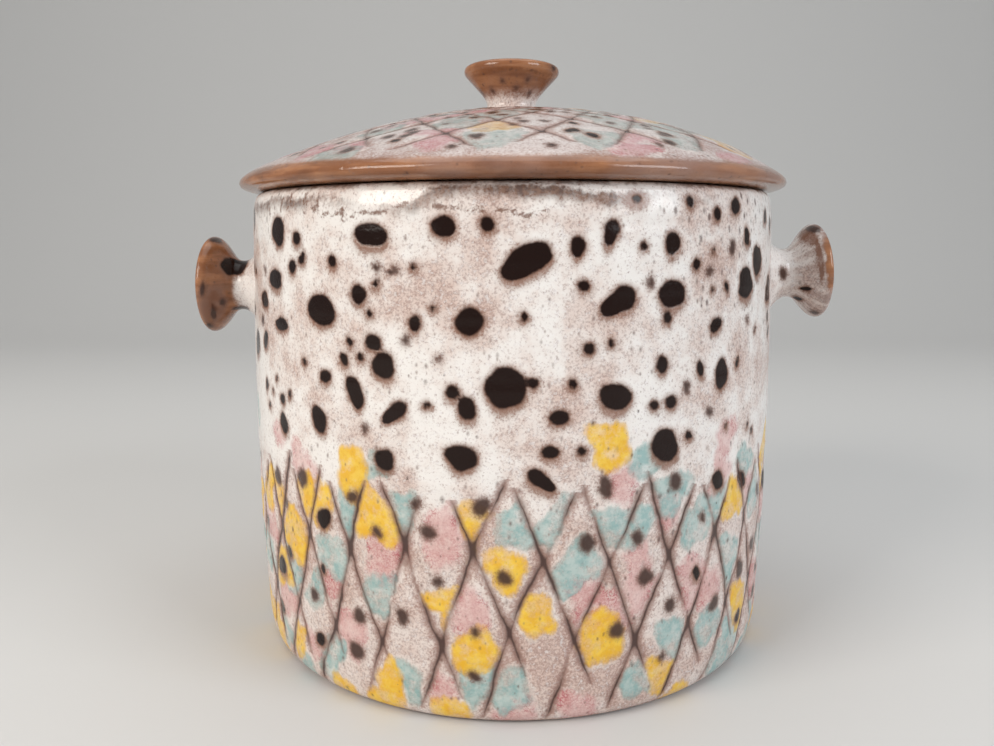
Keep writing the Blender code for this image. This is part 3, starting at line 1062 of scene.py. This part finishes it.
    # brown glossy glaze, where the white was wiped or ran thin
    band, warm_tone_and_lamp_tint = g.value("band"), g.value("warm_tone_and_lamp_tint")
    lift = g.sub(g.noise(7.0, 4.0, 0.6), 0.5)
    brown = g.add(g.mul(band, 1.12), g.mul(g.add(g.mul(lift, 0.9), g.mul(
        dither, 0.45)), g.step(band, 0.96, 0.45)))
    brown = g.mul(g.step(brown, 0.10, 0.98), g.step(band, 0.02, 0.22))
    streak = g.noise(3.4, 3.0, 0.55, vec=g.stretch(0.16, 0.16, 1.0))
    tone = g.mix(g.step(streak, 0.38, 0.64), (0.235, 0.085, 0.030),
                 (0.385, 0.165, 0.070))
    # Painted lamp light, partly the glaze's own tone: where the warmth value
    # is low, on the side away from the warm lamp, the brown is painted rosy
    # and then grey; where it is high it stays orange, with dark streaks.
    rosy = g.step(g.add(g.noise(30.0, 2.0, 0.55), g.mul(g.sub(
        0.5, warm_tone_and_lamp_tint), 0.60)), 0.36, 0.72)
    tone = g.mix(g.mul(rosy, 0.86), tone, (0.275, 0.165, 0.132))
    tone = g.mix(g.mul(g.step(warm_tone_and_lamp_tint, 0.30, -0.20), 0.75), tone,
                 (0.345, 0.265, 0.245))
    deep = g.step(g.noise(13.0, 3.0, 0.6, vec=g.stretch(0.45, 0.45, 1.0)),
                  0.54, 0.72)
    tone = g.mix(g.mul(g.mul(deep, 0.60), g.step(warm_tone_and_lamp_tint, 0.1, 0.7)), tone,
                 (0.120, 0.042, 0.020))
    tone = g.mix(g.mul(stipple(0.20), 0.26), tone, (0.13, 0.055, 0.035))
    dots, one, _ = g.cells(3.4)
    tone = g.mix(g.mul(g.mul(g.step(dots, 0.24, 0.04),
                             g.step(one, 0.5, 0.6)), 0.6), tone,
                 (0.06, 0.025, 0.02))
    colour = g.mix(g.mul(brown, 0.96), colour, tone)
    rough = g.blend(brown, rough, 0.12)

    if not plain:
        # brown breaks out under the rim, below a thick run of glaze
        rim, run, heavy = g.value("rim"), g.value("run"), g.value("heavy")
        below = g.add(run, g.add(g.mul(jag, 2.6), g.mul(jig, 2.0)))
        reach = g.add(g.mul(g.noise(6.0, 3.0, 0.6), 6.2), 0.2)
        smear = g.mul(g.step(below, -1.4, 1.4),
                      g.step(g.sub(below, reach), 5.0, -2.6))
        smear = g.mul(smear, g.add(g.mul(heavy, 0.95),
                                   g.mul(jag, 0.9)))
        smear = g.mul(smear, g.step(rim, 15.0, 10.0))
        lip = g.mul(g.step(g.add(rim, g.mul(jag, 3.0)), 2.6, 0.4),
                    g.step(jig, -0.12, 0.04))
        dust = g.mul(g.step(rim, 30.0, 2.0), 0.32)
        broken = g.top(g.top(smear, g.mul(lip, 0.75)), dust)
        flow = g.math('MAXIMUM', g.step(g.add(g.top(smear, g.mul(
            lip, 0.7)), g.mul(dither, 0.17)), 0.16, 0.98),
            stipple(broken, 0.45, 1.05))
        colour = g.mix(g.mul(flow, 0.90), colour,
                       g.mix(g.step(fine, 0.4, 0.6), (0.082, 0.033, 0.020),
                             (0.185, 0.090, 0.054)))
        # and thin lines of it lower down, broken up into dots
        drip = g.step(g.add(g.value("drip"), g.mul(jag, 1.5)), 1.7, -0.1)
        drip = g.mul(drip, g.step(g.noise(3.2, 2.0, 0.5), 0.36, 0.58,
                                  0.25, 1.0))
        colour = g.mix(g.mul(stipple(drip, 0.20, 0.95), 0.84), colour,
                       (0.165, 0.075, 0.045))

    # fine dark specks, in four sizes, thicker on one shoulder of the pot
    dusty = g.value("dusty")
    for size, edge, share, tone, most in (
            (2.0, 0.33, 0.44, (0.215, 0.125, 0.095), 0.62),
            (3.1, 0.28, 0.46, (0.130, 0.068, 0.052), 0.72),
            (5.0, 0.22, 0.60, (0.075, 0.036, 0.027), 0.86),
            (10.5, 0.13, 0.60, (0.060, 0.026, 0.020), 0.90)):
        d, one, two = g.cells(size, vec=g.stretch(1.0, 1.0, 0.68))
        d = g.add(d, g.mul(g.sub(grain, 0.5), 0.26))
        some = g.step(g.add(one, dusty), share - 0.04 * speckle,
                      share + 0.04)
        mask = g.mul(g.step(d, g.blend(two, edge * 1.05, edge * 0.4),
                            -0.02), some)
        colour = g.mix(g.mul(mask, most), colour, tone)

    if not plain:
        d, one, _ = g.cells(2.5, vec=g.stretch(1.0, 1.0, 0.55))
        mask = g.mul(g.step(g.add(d, g.mul(g.sub(grain, 0.5), 0.5)), 0.40,
                            0.14), g.step(one, 0.48, 0.56))
        mask = g.mul(mask, g.step(g.add(dusty, g.mul(jig, 0.5)), 0.08, 0.20))
        colour = g.mix(g.mul(mask, 0.82), colour, (0.105, 0.058, 0.048))

        # blotches: a burnt edge that feathers out into the white
        spot, blot, halo = g.value("spot"), g.value("blot"), g.value("halo")
        rag = g.add(g.mul(jag, 1.3), g.mul(g.sub(grain, 0.5), 0.5))
        stain = g.step(g.add(halo, g.mul(jag, 1.8)), 3.3, -1.3)
        colour = g.mix(g.mul(stipple(stain, 0.24, 1.10), 0.80), colour,
                       (0.235, 0.118, 0.080))
        soft = g.step(g.add(halo, g.mul(jag, 1.0)), 3.2, -1.6)
        colour = g.mix(g.mul(soft, 0.50), colour, (0.270, 0.140, 0.095))
        ring = g.step(g.add(spot, g.mul(jag, 1.3)), 2.3, -0.4)
        colour = g.mix(g.mul(ring, 0.50), colour, (0.230, 0.105, 0.060))
        burn = g.step(g.add(spot, rag), 0.95, -0.25)
        colour = g.mix(g.mul(burn, 0.88), colour, (0.060, 0.026, 0.018))
        core = g.step(g.add(spot, g.mul(rag, 0.6)), 0.42, -0.35)
        colour = g.mix(g.mul(core, 0.97), colour, (0.0110, 0.0040, 0.0028))
        soft = g.step(g.add(blot, g.mul(jag, 0.6)), 2.7, -1.0)
        colour = g.mix(g.mul(soft, 0.55), colour, (0.205, 0.100, 0.068))
        colour = g.mix(g.mul(stipple(soft, 0.20, 0.98), 0.62), colour,
                       (0.150, 0.068, 0.046))
        heart = g.step(g.add(blot, g.mul(jag, 0.35)), 0.85, -0.85)
        colour = g.mix(g.mul(heart, 0.86), colour, (0.040, 0.017, 0.012))
        rough = g.blend(core, rough, 0.10)
        bump = g.sub(bump, g.mul(burn, 0.15))
        bump = g.add(bump, g.mul(g.mul(core, grain), 0.04))

        # the incised lines
        dark = g.step(g.add(line, g.mul(jag, 0.9)), 2.0, 0.10)
        colour = g.mix(g.mul(dark, 0.74), colour, (0.150, 0.070, 0.048))
        cut = g.step(g.add(line, g.mul(jag, 0.3)), 0.72, 0.08)
        colour = g.mix(g.mul(cut, 0.84), colour, (0.046, 0.021, 0.018))
        bump = g.sub(bump, g.mul(dark, 0.24))
        bump = g.sub(bump, g.mul(cut, 0.20))

    out = g.node("ShaderNodeBump")
    out.inputs["Strength"].default_value = 1.0
    out.inputs["Distance"].default_value = 0.001
    g.link(bump, out.inputs["Height"])
    g.link(out.outputs[0], g.bsdf.inputs["Normal"])
    g.link(colour, g.bsdf.inputs["Base Color"])
    g.link(rough, g.bsdf.inputs["Roughness"])
    g.bsdf.inputs["IOR"].default_value = 1.42
    if not plain:
        # the dark blotches are less glassy than the white round them
        g.link(g.blend(burn, 0.5, 0.26),
               g.bsdf.inputs["Specular IOR Level"])
    return g.mat


def bare_clay(name):
    """Unglazed fired clay on the foot and the seat."""
    g = Tree(name)
    mid, grain = g.noise(6.0, 4.0, 0.6), g.noise(0.6, 3.0, 0.7)
    colour = g.mix(g.step(mid, 0.36, 0.66), (0.20, 0.105, 0.065),
                   (0.335, 0.195, 0.125))
    colour = g.mix(g.mul(g.step(grain, 0.52, 0.68), 0.55), colour,
                   (0.11, 0.055, 0.036))
    d, one, _ = g.cells(2.4)
    colour = g.mix(g.mul(g.step(d, 0.28, 0.05), g.step(one, 0.6, 0.7)),
                   colour, (0.045, 0.025, 0.02))
    rings = g.noise(1.4, 2.0, 0.5, vec=g.stretch(0.02, 0.02, 1.0))
    g.link(colour, g.bsdf.inputs["Base Color"])
    g.link(g.step(mid, 0.3, 0.7, 0.62, 0.80), g.bsdf.inputs["Roughness"])
    out = g.node("ShaderNodeBump")
    out.inputs["Strength"].default_value = 1.0
    out.inputs["Distance"].default_value = 0.001
    g.link(g.add(g.mul(grain, 0.10), g.mul(rings, 0.06)),
           out.inputs["Height"])
    g.link(out.outputs[0], g.bsdf.inputs["Normal"])
    return g.mat


OUTSIDE = glaze("tin_glaze_outside")
LID_GLAZE = glaze("tin_glaze_lid", muted=True)
INSIDE = glaze("tin_glaze_inside", plain=True)
CLAY = bare_clay("fired_clay")


# ------------------------------------------------------------------- pieces
def build_pot():
    s = Skin()

    def around(r):
        return 512 if r > 74 else 256 if r > 40 else 128 if r > 15 else 64

    def half(r):
        return max(around(r) // 2, 32)

    s.line(FOOT_LINE, 2.6, half, "foot", 2)
    s.line(OUTER_LINE, 1.27, 512, "out", 0, skip_first=True)
    s.line(LIP_LINE, 2.6, 256, "in", 1, skip_first=True)
    s.line(FLOOR_LINE, 2.8, half, "floor", 1, skip_first=True)
    r, z, th = s.flat("r"), s.flat("z"), s.flat("th")
    ring_of = np.repeat(np.arange(len(s.n)), s.n)
    chart = np.array(s.chart)[ring_of]
    outside = chart == "out"
    within = (chart == "in") | (chart == "floor")

    att = blank(len(r))
    relief = pot_ornament(att, th, z, r, outside)
    att["rim"] = np.where(outside | (chart == "in"),
                          np.abs(RIM_Z - z), 100.0)
    att["rim"][chart == "in"] += 0.6
    att["dusty"][outside] = (
        0.24 * np.exp(-((th[outside] - 0.93) / 0.30) ** 2)
        * step01(z[outside], 112, 146)
        + 0.5 * waves(31, [(0.16, 4, 0.01)], th[outside], z[outside]))
    # the lowest 2.6 mm of the wall, next to the floor, turns brown
    att["band"][outside] = 0.72 * step01(z[outside], 2.6, 0.4)

    # thrown, so never quite round, with faint throwing rings
    thrown = (0.10 * np.cos(2 * th + 0.7) * z / RIM_Z
              + 0.05 * np.cos(3 * th - 0.02 * z + 2.0)
              + waves(9, [(0.05, 8, 0.015)], th, z))
    rings = (0.045 * np.sin(TAU * z / 7.7 + 0.9 * np.sin(th + 0.6))
             + 0.030 * np.sin(TAU * z / 4.3 + 1.3 * np.sin(th - 1.1)))
    side = step01(z, 3.0, 12.0) * step01(z, RIM_Z, RIM_Z - 5.0)
    r = r + np.where(outside, (thrown + rings) * side + relief, 0.0)
    groove = (0.16 * np.sin(TAU * z / 8.6 + th) + 0.06 * np.sin(
        TAU * z / 3.9 + 0.5 * np.sin(2 * th)))
    r = r + np.where(within & (z > 24) & (z < 160), groove, 0.0)
    spiral = 0.14 * np.sin(TAU * r / 7.0 - th) * step01(r, 4, 12)
    z = z + np.where((chart == "floor") & (r < 70), spiral + 0.14, 0.0)
    z = np.maximum(z, 0.0)
    k = 1.0 / 660.0
    charts = {"out": ("wall", 0.004, 0.006, k), "in": ("wall", 0.004,
              0.006 + 186 * k, k), "foot": ("disc", 0.155, 0.74, k),
              "floor": ("disc", 0.46, 0.74, k)}
    obj = make_object("tureen_pot", s, upright(r, th, z),
                      [OUTSIDE, INSIDE, CLAY], att, charts)
    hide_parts("pot_body")
    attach(obj, "pot")
    return obj


def build_lid():
    s = Skin()

    def around(r):
        return 512 if r > 52 else 256 if r > 26 else 128 if r > 12 else 64

    def half(r):
        return max(around(r) // 2, 32)

    s.line(LID_TOP_LINE, 1.3, around, "top", 0)
    s.line(LID_UNDER_LINE, 2.0, half, "under", 1, skip_first=True)
    r, z, th = s.flat("r"), s.flat("z"), s.flat("th")
    ring_of = np.repeat(np.arange(len(s.n)), s.n)
    chart = np.array(s.chart)[ring_of]
    top = chart == "top"
    att = blank(len(r))
    relief = lid_ornament(att, th, r, z, top)
    att["band"][~top] = step01(r[~top], 91.0, 94.0) * 0.9
    spin = (0.05 * np.sin(TAU * r / 8.0 + 0.5 * np.sin(th))
            + waves(12, [(0.05, 5, 0.02)], th, r))
    z = z + np.where(top, relief + spin * step01(r, 101, 92)
                     * step01(r, 12, 20), 0.0)
    # the dome isn't quite even: it is fuller on the right than on the left
    z = z + 1.25 * np.sin(th) * step01(r, 14, 60) * np.where(
        top, step01(r, 103, 84), step01(r, 83, 66))
    k = 1.0 / 480.0
    charts = {"top": ("disc", 0.252, 0.252, k),
              "under": ("disc", 0.746, 0.252, k)}
    # the seat is bare: rings of the underside between the two radii
    for i in range(len(s.n)):
        if s.chart[i] == "under" and 92.5 < s.r[i][0] < 98.0:
            s.mat[i] = 2
    obj = make_object("tureen_lid", s, upright(r, th, z),
                      [LID_GLAZE, INSIDE, CLAY], att, charts)
    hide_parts("lid")
    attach(obj, "lid")
    return obj


def build_ring():
    pts, at = smooth_line(RING_LINE[:2], 1.5)
    body, at2 = smooth_line(RING_LINE[1:], 1.0)
    s = Skin()
    for (r, z), q in zip(pts, at):
        s.ring(r, z, 256, q, "ring", 0)
    for (r, z), q in zip(body[1:], at2[1:]):
        s.ring(r, z, 256, at[-1] + q, "ring", 0)
    r, z, th = s.flat("r"), s.flat("z"), s.flat("th")
    att = blank(len(r))
    att["band"] = 0.55 * step01(z, 161.0, 159.2)
    z = z + waves(3, [(0.05, 6, 0.0)], th, z) * step01(z, 165, 160)
    obj = make_object("lid_locating_ring", s, upright(r, th, z),
                      [INSIDE], att, {"ring": ("wall", 0.01, 0.01, 0.0016)})
    weld(obj)
    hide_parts("lid_flange")
    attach(obj, "lid")
    return obj


def weld(obj):
    """Joins the first ring of points to the last, which lie together."""
    import bmesh
    bm = bmesh.new()
    bm.from_mesh(obj.data)
    bmesh.ops.remove_doubles(bm, verts=bm.verts, dist=2e-6)
    bm.to_mesh(obj.data)
    bm.free()


def build_knob():
    s = Skin()
    s.line(KNOB_LINE, 0.62, lambda r: 160 if r > 8 else 80 if r > 3.5
           else 40, "knob", 0)
    r, z, th = s.flat("r"), s.flat("z"), s.flat("th")
    att = blank(len(r))
    low_z = z + waves(5, [(0.8, 3, 0.05)], th, z)
    att["band"] = (0.50 * step01(low_z, 206.3, 210.2)
                   + 0.50 * step01(low_z, 208.8, 214.5))
    # painted lamp light: warmer on the left under the warm lamp, greyer on the
    # right in painted shade
    att["warm_tone_and_lamp_tint"] = 0.86 - 0.30 * np.sin(th + 0.2)
    att["ground"] = 0.10 + 0.7 * step01(z, 206.5, 210.0)
    on_top = (z > 220.2) & (r < 16)
    att["band"] = np.where(on_top, 0.90, att["band"])
    under = (z < 219.0) & (z > 206.5)
    wavy = 216.8 + 0.5 * np.sin(3 * th + 0.8) + 0.3 * np.sin(7 * th)
    att["drip"] = np.where(under, np.abs(z - wavy) + 1.1
                           - 0.7 * np.cos(2 * th - 0.6), FAR)
    for deg, v, a, b in ((60, 219.4, 1.5, 0.8), (-38, 210.6, 0.6, 0.4),
                         (8, 211.4, 0.5, 0.3), (38, 210.0, 0.7, 0.4),
                         (-14, 213.6, 0.4, 0.3), (24, 214.2, 0.4, 0.4),
                         (-75, 211, 0.6, 0.5), (110, 210, 0.7, 0.5),
                         (170, 217, 1.0, 0.6), (-140, 213, 0.6, 0.8)):
        union(att["blot"], th, z, r, (deg, v, a, b, 0, [(0.1, 1.0)]))
    wob = waves(6, [(0.05, 3, 0.05)], th, z) * step01(z, 205, 208)
    r = np.where(r > 1, r + wob * step01(r, 2, 8), r)
    z = z - 0.10 * (1 + np.cos(th - 1.9)) * step01(z, 209, 220)
    z = np.minimum(z, 221.58)
    obj = make_object("lid_knob_trumpet", s, upright(r, th, z), [OUTSIDE],
                      att, {"knob": ("wall", 0.01, 0.01, 0.012)})
    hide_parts("lid_knob")
    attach(obj, "lid")
    return obj


def build_lug(side):
    sign = 1.0 if side == "right" else -1.0
    s = Skin()
    s.ring(0.0, 99.0, 1, 0.0, "lug", 0)
    s.ring(9.0, 99.0, 80, 9.0, "lug", 0)
    s.ring(17.6, 99.2, 160, 17.0, "lug", 0)
    pts, at = smooth_line(LUG_LINE, 0.7)
    for (r, x), q in zip(pts[1:], at[1:]):
        n = 160 if r > 8 else 80 if r > 3.5 else 40
        n = max(n, s.n[-1] // 2)
        s.ring(r, x, n, 17.5 + q, "lug", 0)
    rad, x, th = s.flat("r"), s.flat("z"), s.flat("th")
    seed = 15 if side == "right" else 16
    rad = np.where(rad > 1, rad * (1 + 0.008 * np.cos(2 * th + seed)
                                   + 0.006 * np.cos(3 * th - seed)), rad)
    height, tilt, inward, wide = LUG_SET[side]
    tilt = math.radians(tilt)
    rad = np.minimum(rad, 18.98) * wide
    y = rad * np.sin(th)
    up = rad * np.cos(th)
    # tipped up a little, but its root follows the curve of the wall
    hug = step01(x, 108.5, 101.0)
    far = (LUG_PIVOT - inward + (x - LUG_PIVOT) * math.cos(tilt)
           - up * math.sin(tilt) * step01(x, 100.5, 106.5))
    far = far - hug * (POT_R - np.sqrt(
        POT_R ** 2 - np.minimum(np.abs(y), 40) ** 2))
    z = height + up * math.cos(tilt) + (x - LUG_PIVOT) * math.sin(tilt)
    xyz = np.stack([sign * far, y * sign, z], 1) * 0.001
    att = blank(len(rad))
    lip = step01(x, 120.4, 123.2)
    flare = step01(x, 109.5, 115.0)
    # world angle round the lug: 0 is up, 90 faces the viewer
    look = np.degrees(np.arctan2(-y * sign, up))
    comb = waves(seed + 9, [(0.22, 30, 0.0), (0.16, 60, 0.01)], th, x)
    patch = waves(seed + 3, [(0.30, 2, 0.0), (0.22, 5, 0.03)], th, x)
    # the streaks fade towards the middle of the end
    outer = np.where(x > 121.5, step01(rad, 5.0, 16.0), 1.0)
    comb, patch = comb * outer, patch * outer
    if side == "left":
        # the left lug's flare: brown glaze, painted orange all round as warm
        # lamp light
        att["band"] = np.clip(flare * 1.1 - 0.10 * step01(x, 119, 117)
                              * np.maximum(patch, 0), 0, 1)
        att["warm_tone_and_lamp_tint"] = np.full(len(rad), 1.05)
    else:
        # the right lug's grey-violet flare beside the lip is partly streaked
        # glaze, partly painted form shade
        facing = np.exp(-((look - 84.0) / 30.0) ** 2) * step01(
            outer, 0.35, 1.0)
        att["band"] = np.clip(
            lip * (0.34 + 0.52 * facing + 0.5 * patch)
            + step01(x, 111.5, 119.0) * (0.32 + 0.7 * comb), 0, 1)
        att["warm_tone_and_lamp_tint"] = np.clip(-0.15 + 1.2 * facing * lip + 0.5 * patch,
                              -0.3, 1)
    cap = (x > 123.6) & (rad < 16.5)
    flat = waves(seed + 7, [(0.5, 0, 0.06)], th * 0, y) + waves(
        seed + 8, [(0.5, 0, 0.06)], th * 0, up)
    # the end of each lug: brown glaze, heavier on the left lug, where it is
    # partly painted warm lamp light
    att["band"] = np.where(cap, np.clip(
        (0.92 if side == "left" else 0.52) + 0.3 * patch
        + 0.35 * flat * step01(rad, 16.5, 13.0), 0, 1), att["band"])
    # thinner, greyer glaze over the flare; beside the right lug's lip it is
    # partly painted form shade
    att["ground"] = np.clip(0.20 + 0.45 * flare + comb * (0.3 + flare), 0, 1)
    # blotches, where they are on the lugs seen from the front
    p = np.stack([x, y * sign, up], 1)
    fields = {k: np.full(len(rad), FAR) for k in ("spot", "blot", "burnt")}

    def mark(key, centre, half, phase=0.0):
        q = (p - np.array(centre)) / np.array(half)
        n = np.linalg.norm(q, axis=1) + 1e-6
        ang = np.arctan2(q[:, 2], q[:, 0])
        g = 1 + 0.16 * np.cos(2 * ang + phase) + 0.05 * np.cos(5 * ang - phase)
        d = np.linalg.norm(p - np.array(centre), axis=1) * (1 - g / n)
        fields[key] = np.minimum(fields[key], d)

    rng = np.random.default_rng(seed)
    if side == "left":
        mark("spot", (112.8, -6.8, 7.9), (4.3, 6.0, 4.8), 0.4)
        mark("blot", (120.8, -4.0, 18.0), (2.2, 4.0, 1.5), 1.0)
        # painted shadow: a thin dark line along the underside of the neck
        mark("blot", (110.5, -4.0, -9.2), (4.4, 4.0, 0.9), 2.0)
        mark("burnt", (119.5, -13.5, -8.0), (3.6, 7.5, 9.0), 0.8)
        mark("blot", (121.6, -18.2, -1.0), (0.8, 3.0, 2.6), 1.7)
        mark("blot", (119.4, -13.0, -9.6), (0.9, 2.4, 4.2), 2.4)
        mark("blot", (116.4, -11.0, -6.4), (1.0, 2.4, 1.2), 2.9)
        mark("blot", (122.2, -9.4, -15.8), (0.8, 3.0, 1.6), 0.2)
    else:
        mark("burnt", (119.2, -6.5, 13.2), (2.6, 7.5, 4.2), 1.9)
        mark("blot", (107.2, -11.0, 0.4), (1.3, 3.0, 2.5), 0.5)
        mark("spot", (115.9, -11.0, -6.3), (2.0, 2.4, 0.8), 0.3)
        mark("spot", (114.6, -4.2, -10.5), (2.2, 2.2, 0.7), 1.3)
        mark("blot", (121.2, -6.0, 16.4), (2.0, 5.0, 1.9), 1.3)
        mark("burnt", (120.0, -15.2, 4.0), (0.9, 5.0, 7.5), 2.3)
        mark("blot", (120.4, -7.4, -16.6), (1.4, 2.6, 1.0), 0.9)
    for k in range(9):
        # the side that the viewer doesn't see has a few of its own
        a0 = rng.uniform(20, 160) * (1 if side == "right" else 1)
        xx = rng.choice([107.5, 112.5, 116.5, 119.5])
        rr = np.interp(xx, [107, 111, 116, 120], [11.2, 9.8, 12.4, 17.0])
        mark("spot" if rng.random() < 0.5 else "blot",
             (xx, rr * math.sin(math.radians(a0)),
              rr * math.cos(math.radians(a0))),
             (rng.uniform(0.8, 2.0), rng.uniform(1, 2.4),
              rng.uniform(1, 2.4)), rng.uniform(0, 6))
    att["spot"], att["blot"] = fields["spot"], fields["blot"]
    att["halo"] = np.minimum(fields["spot"] - 0.2, fields["burnt"])
    att["drip"] = fields["burnt"] + 0.9
    obj = make_object("lug_" + side, s, xyz, [OUTSIDE], att,
                      {"lug": ("wall", 0.01, 0.01, 0.0135)})
    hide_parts(side + "_handle")
    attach(obj, "pot")
    return obj


POT = build_pot()
LID = build_lid()
RING = build_ring()
KNOB = build_knob()
LUGS = [build_lug("left"), build_lug("right")]


# -------------------------------------------------------------------- stage
def build_stage():
    """A pale sweep: a flat floor that curves up far behind the pot."""
    rows = [(-2.4, 0.0), (-1.0, 0.0), (0.0, 0.0), (0.9, 0.0)]
    for k in range(1, 19):
        a = math.radians(90.0 * k / 18)
        rows.append((0.9 + 0.9 * math.sin(a), 0.9 * (1 - math.cos(a))))
    rows.append((1.8, 3.2))
    verts, faces = [], []
    for y, z in rows:
        verts += [(-3.5, y, z - 0.0002), (3.5, y, z - 0.0002)]
    for i in range(len(rows) - 1):
        a = 2 * i
        faces.append((a, a + 1, a + 3, a + 2))
    mesh = bpy.data.meshes.new("floor")
    mesh.from_pydata(verts, [], faces)
    for p in mesh.polygons:
        p.use_smooth = True
    obj = bpy.data.objects.new("floor", mesh)
    bpy.context.scene.collection.objects.link(obj)
    mat = bpy.data.materials.new("floor_paper")
    mat.use_nodes = True
    b = mat.node_tree.nodes["Principled BSDF"]
    b.inputs["Base Color"].default_value = (0.66, 0.655, 0.645, 1.0)
    b.inputs["Roughness"].default_value = 0.65
    mesh.materials.append(mat)


def area_light(name, place, target, size, power, colour):
    data = bpy.data.lights.new(name, 'AREA')
    data.shape = 'RECTANGLE'
    data.size, data.size_y = size
    data.energy = power
    data.color = colour
    obj = bpy.data.objects.new(name, data)
    obj.location = place
    aim = Vector(target) - Vector(place)
    obj.rotation_euler = aim.to_track_quat('-Z', 'Y').to_euler()
    bpy.context.scene.collection.objects.link(obj)


build_stage()
area_light("key_left", (-1.15, -0.95, 0.85), (0, 0, 0.10), (0.8, 0.8), 18.0,
           (1.0, 0.945, 0.87))
area_light("fill_right", (1.25, -0.85, 0.78), (0, 0, 0.10), (0.8, 0.8), 13.0,
           (0.93, 0.965, 1.0))
area_light("top_soft", (0.0, 0.10, 1.35), (0, 0, 0.1), (1.2, 1.0), 5.5,
           (1.0, 0.99, 0.97))

scene = bpy.context.scene
world = bpy.data.worlds.new("studio")
scene.world = world
world.use_nodes = True
world.node_tree.nodes["Background"].inputs[0].default_value = (
    0.88, 0.90, 0.92, 1.0)
world.node_tree.nodes["Background"].inputs[1].default_value = 0.38

cam = bpy.data.cameras.new("camera")
cam.sensor_width = 36.0
cam.lens = 30.785
cam.clip_start, cam.clip_end = 0.02, 20.0
cam_obj = bpy.data.objects.new("camera", cam)
cam_obj.location = (-0.0004, -0.3502, 0.1541)
cam_obj.rotation_euler = (math.radians(90 - 8.93), math.radians(0.08),
                          math.radians(0.89))
scene.collection.objects.link(cam_obj)
scene.camera = cam_obj
scene.view_settings.view_transform = 'Standard'
